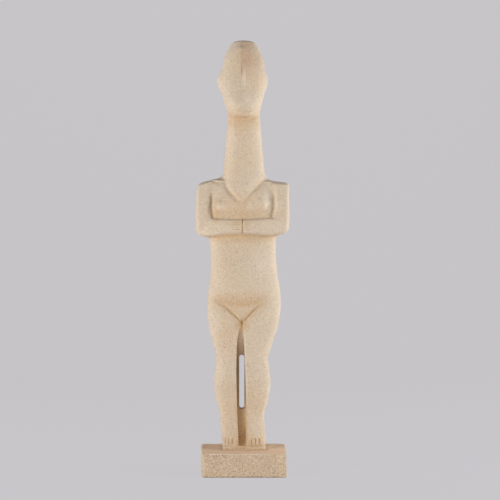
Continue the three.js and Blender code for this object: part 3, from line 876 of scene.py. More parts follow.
def new_tree(name, kind, inputs, outputs):
    """A node group and its inputs, each given by its default or, without one, by its kind."""
    group = bpy.data.node_groups.new(name, kind)
    for label, given in inputs.items():
        of_kind = given if isinstance(given, str) else SOCKET_KINDS[type(given)]
        made = group.interface.new_socket(name=label, in_out="INPUT", socket_type="NodeSocket" + of_kind)
        if of_kind != given:
            made.default_value = given
    for label, of_kind in outputs.items():
        group.interface.new_socket(name=label, in_out="OUTPUT", socket_type="NodeSocket" + of_kind)
    tree = Tree(group)
    return tree, tree.node("NodeGroupInput")


def apply_tree(piece, tree, values):
    """Runs a geometry tree on a piece with its inputs set, and gives back the plain mesh."""
    modifier = piece.modifiers.new(tree.name, "NODES")
    modifier.node_group = tree
    for item in tree.interface.items_tree:
        if item.item_type == "SOCKET" and item.in_out == "INPUT" and item.name in values:
            modifier[item.identifier] = values[item.name]
    mesh = evaluated_mesh(piece)
    piece.modifiers.remove(modifier)
    return mesh


def row_of_lines(tree, place, start, pitch, count, half_width):
    """A V at each of several evenly spaced places: 1 on a line, 0 between lines."""
    number = (place - start) / pitch
    nearest = tree.math("MAXIMUM", tree.math("ROUND", number), 0.0)
    nearest = tree.math("MINIMUM", nearest, count - 1.0)
    off = tree.math("ABSOLUTE", number - nearest) * pitch / half_width
    return tree.math("SUBTRACT", 1.0, off, clamp=True)


def span_mask(tree, place, low, high, fade):
    """1 between two ends, with a soft band at each."""
    rise = tree.ramp(place, low - fade, low + fade)
    return rise * tree.ramp(place, high - fade, high + fade, 1.0, 0.0)


LINE_END_FADE = 0.0004


def line_carving_tree():
    """Carves an evenly spaced row of short lines into the front of a mesh."""
    tree, given = new_tree("rows of carved lines", "GeometryNodeTree", {
        "Geometry": "Geometry", "Upright": False, "Start": 0.0, "Pitch": 1.0, "Count": 1.0, "Low End": 0.0,
        "High End": 1.0, "Half Width": 0.001, "Depth": 0.001, "Front Of": 0.0, "Material": "Material"},
        {"Geometry": "Geometry"})
    x, y, z = tree.parts(tree.node("GeometryNodeInputPosition")[0])
    across, along = (tree.node("GeometryNodeSwitch", {
        "Switch": given["Upright"], "False": level, "True": upright}, input_type="FLOAT")[0]
        for level, upright in ((z, x), (x, z)))
    line = row_of_lines(tree, across, given["Start"], given["Pitch"], given["Count"], given["Half Width"])
    span = span_mask(tree, along, given["Low End"], given["High End"], LINE_END_FADE)
    ahead = tree.math("LESS_THAN", y, given["Front Of"])
    inward = line * span * ahead * given["Depth"] * -1.0
    normal = tree.node("GeometryNodeInputNormal")[0]
    moved = tree.node("GeometryNodeSetPosition", {
        "Geometry": given["Geometry"], "Offset": tree.scaled(normal, inward)})
    return tree.solid(moved[0], given["Material"])


BACK_CORNER_WEAR = 0.35
POCK_SCALE = 620.0
SAND_SCALE = 1400.0
SWELL_SCALE = 130.0
GRAIN_PATCH_SCALE = 90.0
GRAIN_SEED = 7


def block_tree():
    """A block with eased edges, worn corners and broken side faces."""
    tree, given = new_tree("block base", "GeometryNodeTree", {
        "Geometry": "Geometry", "Width": 0.1, "Depth": 0.1, "Height": 0.02, "Corner": 0.003,
        "Worn Corner": 0.01, "Back Flare": 0.0, "Sideways": 0.0, "Back Lift": 0.0, "Edge": 0.001,
        "Spacing": 0.001, "Roughness": 0.0005, "Material": "Material"}, {"Geometry": "Geometry"})
    sides = [given[key] for key in ("Width", "Depth", "Height")]
    counts = [side / given["Spacing"] + 1.0 for side in sides]
    size = tree.joined(*sides)
    cube = tree.node("GeometryNodeMeshCube", {
        "Size": size, "Vertices X": counts[0], "Vertices Y": counts[1], "Vertices Z": counts[2]})

    # Level edges: pull each point towards an inner box, to a radius of Edge
    place = tree.node("GeometryNodeInputPosition")[0]
    half = tree.scaled(size, 0.5)
    inner = tree.vector("SUBTRACT", half, tree.joined(given["Edge"], given["Edge"], given["Edge"]))
    core = tree.vector("MINIMUM", tree.vector("MAXIMUM", place, tree.scaled(inner, -1.0)), inner)
    out_of = tree.vector("SUBTRACT", place, core)
    ox, oy, oz = tree.parts(tree.vector("ABSOLUTE", out_of))
    largest = tree.math("MAXIMUM", ox, tree.math("MAXIMUM", oy, oz))
    eased = tree.vector("ADD", core, tree.scaled(tree.vector("NORMALIZE", out_of), largest))
    first = tree.node("GeometryNodeSetPosition", {"Geometry": cube["Mesh"], "Position": eased})

    # Upright corners: the same in plan, with the front right and both back ones wider towards the top
    place = tree.node("GeometryNodeInputPosition")[0]
    x, y, z = tree.parts(place)
    hx, hy, hz = tree.parts(half)
    rise = tree.ramp(z, hz * -1.0, hz, smooth=True)
    front_right = tree.ramp(x, 0.0, 0.001) * tree.ramp(y, 0.0, -0.001)
    behind = tree.ramp(y, 0.0, 0.001, 0.0, BACK_CORNER_WEAR)
    worn = rise * tree.math("MAXIMUM", front_right, behind)
    radius = given["Corner"] + (given["Worn Corner"] - given["Corner"]) * worn
    plan = []
    for part, reach in ((x, hx), (y, hy)):
        limit = reach - radius
        plan.append(tree.math("MINIMUM", tree.math("MAXIMUM", part, limit * -1.0), limit))
    core = tree.joined(*plan, z)
    out_of = tree.vector("SUBTRACT", place, core)
    ox, oy, _ = tree.parts(tree.vector("ABSOLUTE", out_of))
    turned = tree.scaled(tree.vector("NORMALIZE", out_of), tree.math("MAXIMUM", ox, oy))
    leftward = tree.math("MAXIMUM", x / (hx * -1.0), 0.0)
    backward = tree.ramp(y, hy * -1.0, hy)
    sideways = given["Sideways"] - leftward * backward * given["Back Flare"]
    lift = tree.joined(sideways, 0.0, hz + rise * backward * given["Back Lift"])
    second = tree.node("GeometryNodeSetPosition", {
        "Geometry": first[0], "Position": tree.vector("ADD", tree.vector("ADD", core, turned), lift)})

    # Broken faces: pocked by two sizes of grain, calm on the top and flat underneath
    place = tree.node("GeometryNodeInputPosition")[0]
    normal = tree.node("GeometryNodeInputNormal")[0]
    _, _, up = tree.parts(normal)
    coarse = tree.node("ShaderNodeTexVoronoi", {"Vector": place, "Scale": POCK_SCALE})["Distance"]
    fine = tree.noise(place, SAND_SCALE, 2.0)[0]
    swell = tree.noise(place, SWELL_SCALE, 3.0)[0]
    pocks = tree.math("MAXIMUM", coarse * 0.7 + fine * 0.6 + swell * 0.7 - 0.6, 0.05)
    calm = tree.ramp(tree.math("ABSOLUTE", up), 0.35, 0.85, 1.0, 0.3) * tree.math("GREATER_THAN", up, -0.4)
    inward = pocks * calm * given["Roughness"] * -1.0
    third = tree.node("GeometryNodeSetPosition", {
        "Geometry": second[0], "Offset": tree.scaled(normal, inward)})
    return tree.solid(third[0], given["Material"])


def grain_tree():
    """Strews small half-sunk grains over the upright faces of a mesh."""
    tree, given = new_tree("strewn grains", "GeometryNodeTree", {
        "Geometry": "Geometry", "Density": 100.0, "Largest": 0.0006, "Seed": GRAIN_SEED,
        "Material": "Material"},
        {"Geometry": "Geometry"})
    place = tree.node("GeometryNodeInputPosition")[0]
    _, _, z = tree.parts(place)
    _, _, up = tree.parts(tree.node("GeometryNodeInputNormal")[0])
    upright = tree.math("LESS_THAN", tree.math("ABSOLUTE", up), 0.5)
    patchy = tree.ramp(tree.noise(place, GRAIN_PATCH_SCALE, 1.0)[0], 0.3, 0.6, 0.25, 1.0)
    clear = tree.math("GREATER_THAN", z, given["Largest"] * 2.0)
    points = tree.node("GeometryNodeDistributePointsOnFaces", {
        "Mesh": given["Geometry"], "Density": given["Density"] * patchy * (upright * clear),
        "Seed": given["Seed"]})
    sizes = tree.node("FunctionNodeRandomValue", {2: 0.4, 3: 1.0, "Seed": given["Seed"]}, data_type="FLOAT")
    turns = tree.node("FunctionNodeRandomValue", {
        0: (0.0, 0.0, 0.0), 1: (6.283, 6.283, 6.283), "Seed": given["Seed"]}, data_type="FLOAT_VECTOR")
    reach = tree.math("POWER", sizes[1], 1.6) * given["Largest"]
    sunk = tree.node("GeometryNodeSetPosition", {
        "Geometry": points["Points"], "Offset": tree.scaled(points["Normal"], given["Largest"] * -0.3)})
    placed = tree.node("GeometryNodeInstanceOnPoints", {
        "Points": sunk[0], "Rotation": turns[0], "Scale": tree.joined(reach, reach * 0.85, reach * 0.7),
        "Instance": tree.node("GeometryNodeMeshIcoSphere", {"Radius": 1.0, "Subdivisions": 1})["Mesh"]})
    return tree.solid(placed[0], given["Material"])


# Materials

WARM_TINT = (0.98, 0.92, 0.84, 1)
BROW_TINT = (0.91, 0.82, 0.76, 1)
# Painted shade on the up-facing crown
CROWN_SHADE_TINT = (0.68, 0.65, 0.65, 1)
# Painted light on the block's top face, brighter at the right than at the left
BLOCK_TOP_RIGHT_LIGHT = (1.33, 1.18, 0.98, 1)
BLOCK_TOP_LEFT_LIGHT = (1.12, 0.97, 0.77, 1)
# Painted shade on the block's right end
BLOCK_RIGHT_END_SHADE = (0.78, 0.76, 0.74, 1)
# Painted shadow on the top round the foot pad
FOOT_SHADOW_TINT = (0.8, 0.74, 0.66, 1)
LOWER_EDGE_TINT = (0.5, 0.47, 0.43, 1)
BROW_DARK_REACH = 21
BROW_DARK_LOW = 366
FIGURE_MASKS = ("rust", "hollow", "warm", "pale")


def speckle_group():
    """Pale and brown grains of sandstone: two masks and a height."""
    tree, given = new_tree("sandstone speckle", "ShaderNodeTree", {
        "Vector": "Vector", "Grain Scale": 900.0, "Pale Share": 0.5, "Brown Share": 0.5},
        {"Pale": "Float", "Brown": "Float", "Height": "Float"})
    cells = tree.node("ShaderNodeTexVoronoi", {"Vector": given["Vector"], "Scale": given["Grain Scale"]})
    chance = tree.node("ShaderNodeSeparateColor", {0: cells["Color"]})
    near = tree.ramp(cells["Distance"], 0.15, 0.6, 1.0, 0.0, smooth=True)
    pale = tree.math("GREATER_THAN", chance[0], 1.0 - given["Pale Share"]) * near
    brown = tree.math("GREATER_THAN", chance[1], 1.0 - given["Brown Share"]) * near * (1.0 - pale)
    return tree.result({"Pale": pale, "Brown": brown, "Height": pale * 0.6 - brown})


def cloud_group():
    """Soft patches that shift the stone's tone over a few centimetres."""
    tree, given = new_tree("soft tone patches", "ShaderNodeTree", {
        "Vector": "Vector", "Patch Scale": 40.0, "Amount": 0.1}, {"Tone": "Float"})
    noise = tree.noise(given["Vector"], given["Patch Scale"], 4.0, 0.6)[0]
    return tree.result({"Tone": (noise - 0.5) * given["Amount"] + 1.0})


def upward_group():
    """How far a surface faces up, softened over a band of slopes."""
    tree, given = new_tree("upward mask", "ShaderNodeTree", {"From": 0.5, "To": 0.95}, {"Mask": "Float"})
    _, _, up = tree.parts(tree.node("ShaderNodeNewGeometry")["Normal"])
    return tree.result({"Mask": tree.ramp(up, given["From"], given["To"])})


def brow_darkening_group():
    """The darker half of the brow: a sharp edge along the keel, soft towards the temple."""
    step = settings("figure").height / STEPS
    tree, given = new_tree("brow stain", "ShaderNodeTree", {
        "Vector": "Vector", "Edge": BROW_KEEL_X * step, "Lean": BROW_KEEL_LEAN,
        "Reach": BROW_DARK_REACH * step, "Low End": BLOCK_HIGH.z + BROW_DARK_LOW * step,
        "Full Height": BLOCK_HIGH.z + BROW_MIDDLE * step}, {"Mask": "Float"})
    x, y, z = tree.parts(given["Vector"])
    wobble = tree.noise(given["Vector"], 160.0, 2.0)[0]
    x = x + tree.ramp(wobble, 0.3, 0.7, -0.0004, 0.0004)
    off = x - (given["Edge"] + (given["Full Height"] - z) * given["Lean"])
    sharp = tree.ramp(off, -0.0004, 0.0008)
    soft = tree.ramp(off, 0.002, given["Reach"], 1.0, 0.5, smooth=True)
    high = tree.ramp(z, given["Low End"], given["Full Height"])
    front = tree.ramp(y, 0.012, 0.022, 1.0, 0.0)
    return tree.result({"Mask": sharp * soft * (high * front)})


def block_shade_and_marks_group():
    """Masks on the block: painted shadow round the foot pad, a dark band at the lower edge, the left-to-right
    run of the top's painted light, a pale rim and a crack.
    """
    figure = settings("figure")
    step = figure.height / STEPS
    tree, given = new_tree("block soil", "ShaderNodeTree", {
        "Vector": "Vector", "Pad X": PAD_MIDDLE[0] * step, "Pad Y": PAD_MIDDLE[1] * step + figure.setback,
        "Pad Half Width": PAD_HALF[0] * step, "Pad Half Depth": PAD_HALF[1] * step, "Reach": 0.006},
        dict.fromkeys(("Foot", "Lower Edge", "Leftward", "Rim", "Crack"), "Float"))
    x, y, z = tree.parts(given["Vector"])
    # Painted shadow on the top round the foot pad
    beside = tree.math("ABSOLUTE", x - given["Pad X"]) - given["Pad Half Width"]
    before = tree.math("ABSOLUTE", y - given["Pad Y"]) - given["Pad Half Depth"]
    near = tree.ramp(tree.math("MAXIMUM", beside, before), 0.0, given["Reach"], 1.0, 0.0, smooth=True)
    top = BLOCK_HIGH.z
    ahead = tree.ramp(y, BLOCK_LOW.y + 0.0016, BLOCK_LOW.y + 0.001)
    rim = tree.ramp(z, top - 0.0012, top - 0.0005) * ahead
    wobble = tree.noise(given["Vector"], 240.0, 3.0)[0]
    off = tree.math("ABSOLUTE", z - (wobble * 0.001 + (top - 0.0023)))
    crack = tree.ramp(off, 0.0001, 0.0005, 1.0, 0.0) * ahead
    return tree.result({
        "Foot": near * tree.ramp(z, top - 0.003, top - 0.001),
        "Lower Edge": tree.ramp(z - wobble * 0.0012, -0.0003, 0.0009, 1.0, 0.0),
        "Leftward": tree.ramp(x, BLOCK_HIGH.x, -BLOCK_HIGH.x),
        "Rim": rim * span_mask(tree, x, -0.033, 0.023, 0.004),
        "Crack": crack * span_mask(tree, x, -0.035, -0.015, 0.002)})


def sand_group():
    """Fine sand and a soft mottle under it: a tint to multiply by, and a height."""
    tree, given = new_tree("sand and mottle", "ShaderNodeTree", {
        "Vector": "Vector", "Sand Scale": 760.0, "Mottle Scale": 430.0}, {"Tint": "Color", "Height": "Float"})
    fine = tree.noise(given["Vector"], given["Sand Scale"], 4.0, 0.7)[0]
    mottle = tree.noise(given["Vector"], given["Mottle Scale"], 3.0, 0.6)
    shade = tree.ramp(fine, 0.3, 0.7, 0.87, 1.13) * tree.ramp(mottle[0], 0.3, 0.7, 0.95, 1.05)
    green = tree.node("ShaderNodeSeparateColor", {0: mottle["Color"]})[1]
    cool = shade * tree.ramp(green, 0.3, 0.7, 0.95, 1.05)
    return tree.result({"Tint": tree.colour(shade, shade, cool), "Height": fine})


SHADER_GROUPS = {
    "sandstone speckle": speckle_group,
    "soft tone patches": cloud_group,
    "upward mask": upward_group,
    "brow stain": brow_darkening_group,
    "block soil": block_shade_and_marks_group,
    "sand and mottle": sand_group,
}


def shared(name):
    """A shader group, made when it is first asked for."""
    return bpy.data.node_groups.get(name) or SHADER_GROUPS[name]()


def figure_shade_and_tints(tree, colour, place):
    """The figure's painted shade and glow in hollows and creases, its tone patches and painted highlights,
    and how calm its grain is: 0 lively, 1 calm.
    """
    stone = settings("stone")
    rust, hollow, warm, pale = (
        tree.node("ShaderNodeAttribute", attribute_name=label)["Fac"] for label in FIGURE_MASKS)
    # Painted shade and warm reflected glow along grooves, in creases and under the chin and forearms
    colour = tree.mix(rust, colour, (*stone.rust, 1))
    # Painted shade in hollows, undercuts and the leg channel
    colour = tree.mix(hollow, colour, (*stone.hollow, 1))
    colour = tree.tinted(warm, colour, WARM_TINT)
    # Pale patches, with painted highlights on the convex edges and the breasts
    colour = tree.mix(pale, colour, (*stone.light_grain, 1))
    colour = tree.tinted(tree.group(shared("brow stain"), {"Vector": place})["Mask"], colour, BROW_TINT)
    _, _, z = tree.parts(place)
    # Painted shade: the up-facing crown darkened, as no light falls from above
    upward = tree.group(shared("upward mask"), {"From": 0.6, "To": 0.95})["Mask"]
    colour = tree.tinted(upward * tree.ramp(z, 0.15, 0.25), colour, CROWN_SHADE_TINT)
    return colour, tree.math("MAXIMUM", hollow, tree.ramp(z, 0.13, 0.18, 0.0, 0.45))


def block_light_shade_and_marks(tree, colour, place):
    """The block's warm top with painted light, its right end with painted shade, rim, crack, painted shadow
    round the foot pad and dark lower edge, and how calm its grain is.
    """
    stone = settings("stone")
    shade_and_marks = tree.group(shared("block soil"), {"Vector": place})
    # Painted light: the up-facing top made lighter and warmer, more so towards the right
    upward = tree.group(shared("upward mask"), {"From": 0.5, "To": 0.95})["Mask"]
    top = tree.mix(shade_and_marks["Leftward"], BLOCK_TOP_RIGHT_LIGHT, BLOCK_TOP_LEFT_LIGHT)
    colour = tree.tinted(upward, colour, top)
    # Painted shade on the right-facing end of the block
    rightward, _, _ = tree.parts(tree.node("ShaderNodeNewGeometry")["Normal"])
    colour = tree.tinted(tree.ramp(rightward, 0.3, 0.9), colour, BLOCK_RIGHT_END_SHADE)
    colour = tree.mix(shade_and_marks["Rim"] * 0.4, colour, (*stone.light_grain, 1))
    colour = tree.mix(shade_and_marks["Crack"] * 0.6, colour, (*stone.dark_grain, 1))
    # Painted shadow on the top round the foot pad
    colour = tree.tinted(shade_and_marks["Foot"] * 0.9, colour, FOOT_SHADOW_TINT)
    colour = tree.tinted(shade_and_marks["Lower Edge"], colour, LOWER_EDGE_TINT)
    return colour, upward


def new_material(name):
    material = bpy.data.materials.new(name)
    material.use_nodes = True
    material.node_tree.nodes.clear()
    return material, Tree(material.node_tree)


def stone_material(name, base, shading_and_tints, grain_scale, pale, brown, pale_strength, brown_strength,
                   roughness, bump):
    """Sandy stone: base tone with patches, painted shade, light and tints, speckle and a grainy surface."""
    stone = settings("stone")
    material, tree = new_material(name)
    place = tree.node("ShaderNodeTexCoord")["Object"]
    tone = tree.group(shared("soft tone patches"), {
        "Vector": place, "Patch Scale": 35.0, "Amount": 0.16})["Tone"]
    speckle = tree.group(shared("sandstone speckle"), {
        "Vector": place, "Grain Scale": grain_scale, "Pale Share": pale, "Brown Share": brown})
    sand = tree.group(shared("sand and mottle"), {"Vector": place})
    colour, calm = shading_and_tints(tree, (*base, 1), place) if shading_and_tints else ((*base, 1), 0.0)
    colour = tree.mix(1.0, colour, tree.colour(tone, tone, tone), "MULTIPLY")
    colour = tree.mix(1.0, colour, sand["Tint"], "MULTIPLY")
    lively = 1.0 - calm * 0.75
    colour = tree.mix(speckle["Pale"] * pale_strength * lively, colour, (*stone.light_grain, 1))
    colour = tree.mix(speckle["Brown"] * brown_strength * lively, colour, (*stone.dark_grain, 1))
    height = sand["Height"] * 0.5 + speckle["Height"]
    relief = tree.node("ShaderNodeBump", {"Height": height, "Strength": bump, "Distance": 0.0003})[0]
    surface = tree.node("ShaderNodeBsdfPrincipled", {
        "Base Color": colour, "Roughness": roughness, "Normal": relief, "Specular IOR Level": 0.2,
        "Sheen Weight": 0.2, "Sheen Roughness": 0.5})
    tree.node("ShaderNodeOutputMaterial", {"Surface": surface[0]})
    return material


def paper_material(colour):
    """Matte paper that glows a little, so that it stays even from front to back."""
    material, tree = new_material("backdrop paper")
    surface = tree.node("ShaderNodeBsdfPrincipled", {
        "Base Color": (*(0.12 * part for part in colour), 1), "Roughness": 1.0, "Specular IOR Level": 0.0,
        "Emission Color": (*colour, 1), "Emission Strength": 0.94})
    tree.node("ShaderNodeOutputMaterial", {"Surface": surface[0]})
    return material


# Pieces

FINGER_ROWS = [
    {"start": 218.0, "pitch": 2.4, "low": -10.6, "high": -3.2},
    {"start": 217.8, "pitch": 2.5, "low": 0.4, "high": 4.4},
]
FINGER_COUNT = 4
TOE_ROWS = [
    {"start": -18.3, "pitch": 3.5},
    {"start": 7.6, "pitch": 3.95},
]
TOE_COUNT = 3
TOE_SPAN = (5.3, 10.6)
# Patches of painted shade and warm reflected glow on the front: middle x and z, half width, half height,
# share
SHADE_GLOW_PATCHES = [
    (0.5, 326, 40, 8, 0.24),
    (-2, 209, 60, 6, 0.3),
    (0.5, 0.5, 70, 6, 0.3),
    (-1.6, 124, 9, 10, 0.5),
    (-26.5, 236, 6, 15, 0.42),
    (-1, 233, 50, 8, 0.18),
    (-21, 147, 16, 9, 0.2),
]
# Pale patches on the front, those on the breasts painted highlights: middle x and z, half width, half height,
# share
PALE_AND_HIGHLIGHT_PATCHES = [
    (3.5, 348, 6, 5, 0.3),
    (-12, 300, 8, 26, 0.16),
    (22, 248, 4, 11, 0.6),
    (-24, 241, 5, 5, 0.45),
    (6, 240, 5, 6, 0.3),
    (18, 186, 14, 20, 0.2),
    (13, 25, 8, 14, 0.16),
]
WARM_PATCHES = [
    (0, 392, 26, 34, 0.9),
    (-4, 322, 22, 20, 1.0),
    (-10, 290, 14, 34, 0.6),
    (3, 292, 14, 30, 0.45),
    (-4, 238, 32, 22, 1.0),
    (-4, 199, 38, 16, 0.5),
    (-16, 182, 14, 18, 0.5),
    (-12, 168, 26, 22, 0.35),
    (-4, 146, 36, 18, 1.0),
    (12, 366, 12, 18, 0.8),
    (-15, 112, 16, 26, 0.9),
    (-14, 42, 16, 38, 0.8),
    (12, 42, 14, 38, 0.8),
    (0, 8, 34, 16, 1.0),
]
FOREARM_TOP_PATH = [(-31.5, 229.9, 0.7), (-20, 229.5, 1), (-2, 228.7, 1), (8, 229.2, 1), (28.4, 230.1, 0.7)]
# Lines of painted shade and warm glow along grooves: path, half width, share
SHADE_GLOW_LINES = [
    *((path, 2.2, 0.5) for path in GROIN_PATHS),
    *((path, 9, 0.2) for path in GROIN_PATHS),
    *((path, 3.0, 0.18) for path in NECK_EDGES),
    *((path, 1.6, 0.22) for path, _ in ARM_LINES),
    (UNDER_ARM_PATH, 2.4, 0.55),
    (FOREARM_TOP_PATH, 1.4, 0.2),
    (CHIN_LINE, 2.2, 0.36),
    (CHIN_LINE, 8, 0.19),
    (FINGERTIP_PATH, 1.0, 0.6),
    (SLIT_PATH, 3.2, 0.72),
    (MOUTH_PATH, 1.5, 0.2),
    (NOSE_CREASE, 1.2, 0.12),
    (SOLE_PATH, 1.3, 0.6),
]
# Painted shade of each short line: half width, share
FINGER_LINE_SHADE = (1.0, 0.3)
TOE_LINE_SHADE = (0.9, 0.5)

# Painted shade in the belly crease
CREASE_SHADE = 0.3
# Painted highlight on the convex edges
EDGE_HIGHLIGHT = 0.08
CLOSE_REACH = 2.0
WIDE_REACH = 6.0
# Share of stone around a place at which each mask starts, and how fast it grows from there
CLOSE_HOLLOW = (0.66, 1.6)
WIDE_HOLLOW = (0.6, 1.3)
BRIGHT_EDGE = (0.47, 4.0)

PORE_SEED = 41
PORE_RADII = (0.55, 1.15)
PORE_DEPTH = 0.55
HAND_FRONT = -12.0
TOE_FRONT = -5.0


def stone_around(field, reach):
    """Share of stone in a soft box of the given half size round each grid point."""
    share = np.clip(0.5 - field.values / field.spacing, 0, 1)
    n = max(round(reach / field.spacing / 2), 1)
    for axis in (0, 1, 2, 0, 1, 2):
        pad = [(0, 0)] * 3
        pad[axis] = (n + 1, n)
        running = np.cumsum(np.pad(share, pad, mode="edge"), axis=axis, dtype=np.float32)
        ends = [slice(None)] * 3
        starts = [slice(None)] * 3
        ends[axis] = slice(2 * n + 1, None)
        starts[axis] = slice(None, -2 * n - 1)
        share = (running[tuple(ends)] - running[tuple(starts)]) / (2 * n + 1)
    return share


def painted(places, patches):
    """The largest share that any soft oval patch has at each place on the front."""
    x, y, z = places.T
    front = np.clip(-y / 6, 0, 1)
    share = np.zeros(len(places))
    for middle_x, middle_z, half_x, half_z, full in patches:
        squared = ((x - middle_x) / half_x) ** 2 + ((z - middle_z) / half_z) ** 2
        share = np.maximum(share, full * np.clip(1 - squared, 0, 1) ** 1.3 * front)
    return share


def shade_glow_along_lines(places, lines):
    """The largest share of painted shade and glow that any line has at each place on the front."""
    x, y, z = places.T
    front = np.clip(-y / 3, 0, 1)
    share = np.zeros(len(places))
    for path, width, full in lines:
        share = np.maximum(share, full * path_depth(path, x, z, width, 1.2) * front)
    return share


def spread(row, count):
    return [row["start"] + row["pitch"] * i for i in range(count)]


def short_lines():
    """The lines of painted shade between fingers and toes."""
    fingers = [([(row["low"], z, 1), (row["high"], z, 1)], *FINGER_LINE_SHADE)
               for row in FINGER_ROWS for z in spread(row, FINGER_COUNT)]
    toes = [([(x, TOE_SPAN[0], 1), (x, TOE_SPAN[1], 1)], *TOE_LINE_SHADE)
            for row in TOE_ROWS for x in spread(row, TOE_COUNT)]
    return fingers + toes


def in_channel(places):
    """How strongly painted shade darkens each place of the channel between the legs, in front or behind."""
    x, y, z = places.T
    between_legs = np.clip(channel_half_width(z) + 0.8 - np.abs(x - channel_x(z)), 0, 0.6) / 0.6
    below = np.where(y < 0, body_front(z) + y, body_back(z) - y)
    # Painted shade, darker towards the left wall, which the key light does not reach
    shaded = np.clip(channel_shade(z) + 0.3 * np.clip((channel_x(z) - x) / 4, -1, 1), 0, 1)
    return shaded * between_legs * np.clip((below - 0.8) / 6, 0, 1) ** 0.7 * (z < CHANNEL_TOP + 1)


def beside_channel(places):
    """An orange tint on the front edges of the channel, towards the feet."""
    x, y, z = places.T
    past = np.abs(x - channel_x(z)) - channel_half_width(z)
    return 0.5 * np.clip(1 - past / 2.2, 0, 1) * np.clip((70 - z) / 40, 0, 1) * (y < 0)


def open_pores(places, normals, count):
    """Small pits at seeded points of the mesh."""
    chance = np.random.default_rng(PORE_SEED)
    centres = places[chance.integers(0, len(places), count)]
    radii = chance.uniform(*PORE_RADII, count)
    moved = places.copy()
    order = np.argsort(places[:, 2])
    heights = places[order, 2]
    for centre, radius in zip(centres, radii):
        low, high = np.searchsorted(heights, (centre[2] - radius, centre[2] + radius))
        near = order[low:high]
        share = ((places[near] - centre) ** 2).sum(1) / radius ** 2
        sunk = np.clip(1 - share, 0, 1) * radius * PORE_DEPTH
        moved[near] -= normals[near] * sunk[:, None]
    return moved


class FIGURINE_OT_figure(bpy.types.Operator):
    """Build the carved figure"""

    bl_idname = "figurine.figure"
    bl_label = "Carved figure"

    def execute(self, context):
        figure = settings("figure")
        carving = settings("carving")
        stone = settings("stone")
        step = figure.height / STEPS
        field = figure_field(figure.spacing / step, figure.unevenness / step)
        places, faces = surface_of(field)
        places = settle(field, places)
        _, slopes = read_grid(field, field.values, places)
        normals = slopes / np.linalg.norm(slopes, axis=1)[:, None]
        places = open_pores(places, normals, figure.pits)
        origin = np.array([0, figure.setback, BLOCK_HIGH.z])
        name = "figure roughed out"
        rough = put_in_scene(name, mesh_from(name, places * step + origin, faces))
        material = stone_material(
            "rubbed sandstone", stone.figure, figure_shade_and_tints, grain_scale=820.0, pale=0.32, brown=0.055,
            pale_strength=0.42, brown_strength=0.6, roughness=0.85, bump=0.4)
        tree = line_carving_tree()
        common = {"Material": material, "Front Of": figure.setback + HAND_FRONT * step}
        for row in FINGER_ROWS:
            rough.data = apply_tree(rough, tree, {
                **common, "Upright": False, "Start": row["start"] * step + BLOCK_HIGH.z,
                "Pitch": row["pitch"] * step, "Count": float(FINGER_COUNT),
                "Low End": row["low"] * step, "High End": row["high"] * step,
                "Half Width": carving.finger_width, "Depth": carving.finger_depth})
        common["Front Of"] = figure.setback + TOE_FRONT * step
        for row in TOE_ROWS:
            rough.data = apply_tree(rough, tree, {
                **common, "Upright": True, "Start": row["start"] * step, "Pitch": row["pitch"] * step,
                "Count": float(TOE_COUNT), "Low End": TOE_SPAN[0] * step + BLOCK_HIGH.z,
                "High End": TOE_SPAN[1] * step + BLOCK_HIGH.z,
                "Half Width": carving.toe_width, "Depth": carving.toe_depth})
        thin = rough.modifiers.new("thin flat stretches", "DECIMATE")
        thin.ratio = figure.triangles / (2 * len(faces))
        mesh = evaluated_mesh(rough)
        bpy.data.objects.remove(rough)
        piece = put_in_scene("carved_figure", mesh)
        mesh.name = "carved_figure"
        self.mark_hollows(mesh, field, origin, step)
        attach(piece, "root")
        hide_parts("figurine")
        return {"FINISHED"}

    @staticmethod
    def mark_hollows(mesh, field, origin, step):
        """Keeps the four masks on the mesh for its colour: painted shade and glow in creases, painted shade
        in hollows, warm tone, and pale patches with painted highlights.
        """
        places = np.empty(len(mesh.vertices) * 3, np.float32)
        mesh.vertices.foreach_get("co", places)
        places = (places.reshape(-1, 3) - origin) / step
        places = places.astype(float)
        # Painted shade: darker where much stone stands round a place, as in creases and undercuts, and in the
        # leg channel
        close, _ = read_grid(field, stone_around(field, CLOSE_REACH), places)
        wide, _ = read_grid(field, stone_around(field, WIDE_REACH), places)
        hollow = np.maximum((close - CLOSE_HOLLOW[0]) * CLOSE_HOLLOW[1],
                            (wide - WIDE_HOLLOW[0]) * WIDE_HOLLOW[1])
        hollow = np.clip(hollow, 0, 1)
        # The painted shade fades towards the pad
        hollow = np.maximum(hollow, in_channel(places)) * np.clip(0.3 + places[:, 2] / 12, 0, 1)
        # Painted shade and warm reflected glow in creases, under the chin and forearms and along the grooves,
        # with an orange tint beside the channel
        rust = np.maximum(painted(places, SHADE_GLOW_PATCHES), shade_glow_along_lines(places, SHADE_GLOW_LINES + short_lines()))
        rust = np.maximum(rust, beside_channel(places))
        rust = np.maximum(rust, CREASE_SHADE * crease_share(places[:, 0], places[:, 2]) * (places[:, 1] < 0))
        warm = painted(places, WARM_PATCHES)
        # Painted highlight: paler on convex edges and on the breasts
        edge = np.clip((BRIGHT_EDGE[0] - wide) * BRIGHT_EDGE[1], 0, 1)
        pale = np.maximum(edge * EDGE_HIGHLIGHT, painted(places, PALE_AND_HIGHLIGHT_PATCHES))
        for label, share in (("hollow", hollow), ("rust", rust), ("warm", warm), ("pale", pale)):
            kept = mesh.attributes.new(label, "FLOAT", "POINT")
            kept.data.foreach_set("value", share.astype(np.float32))


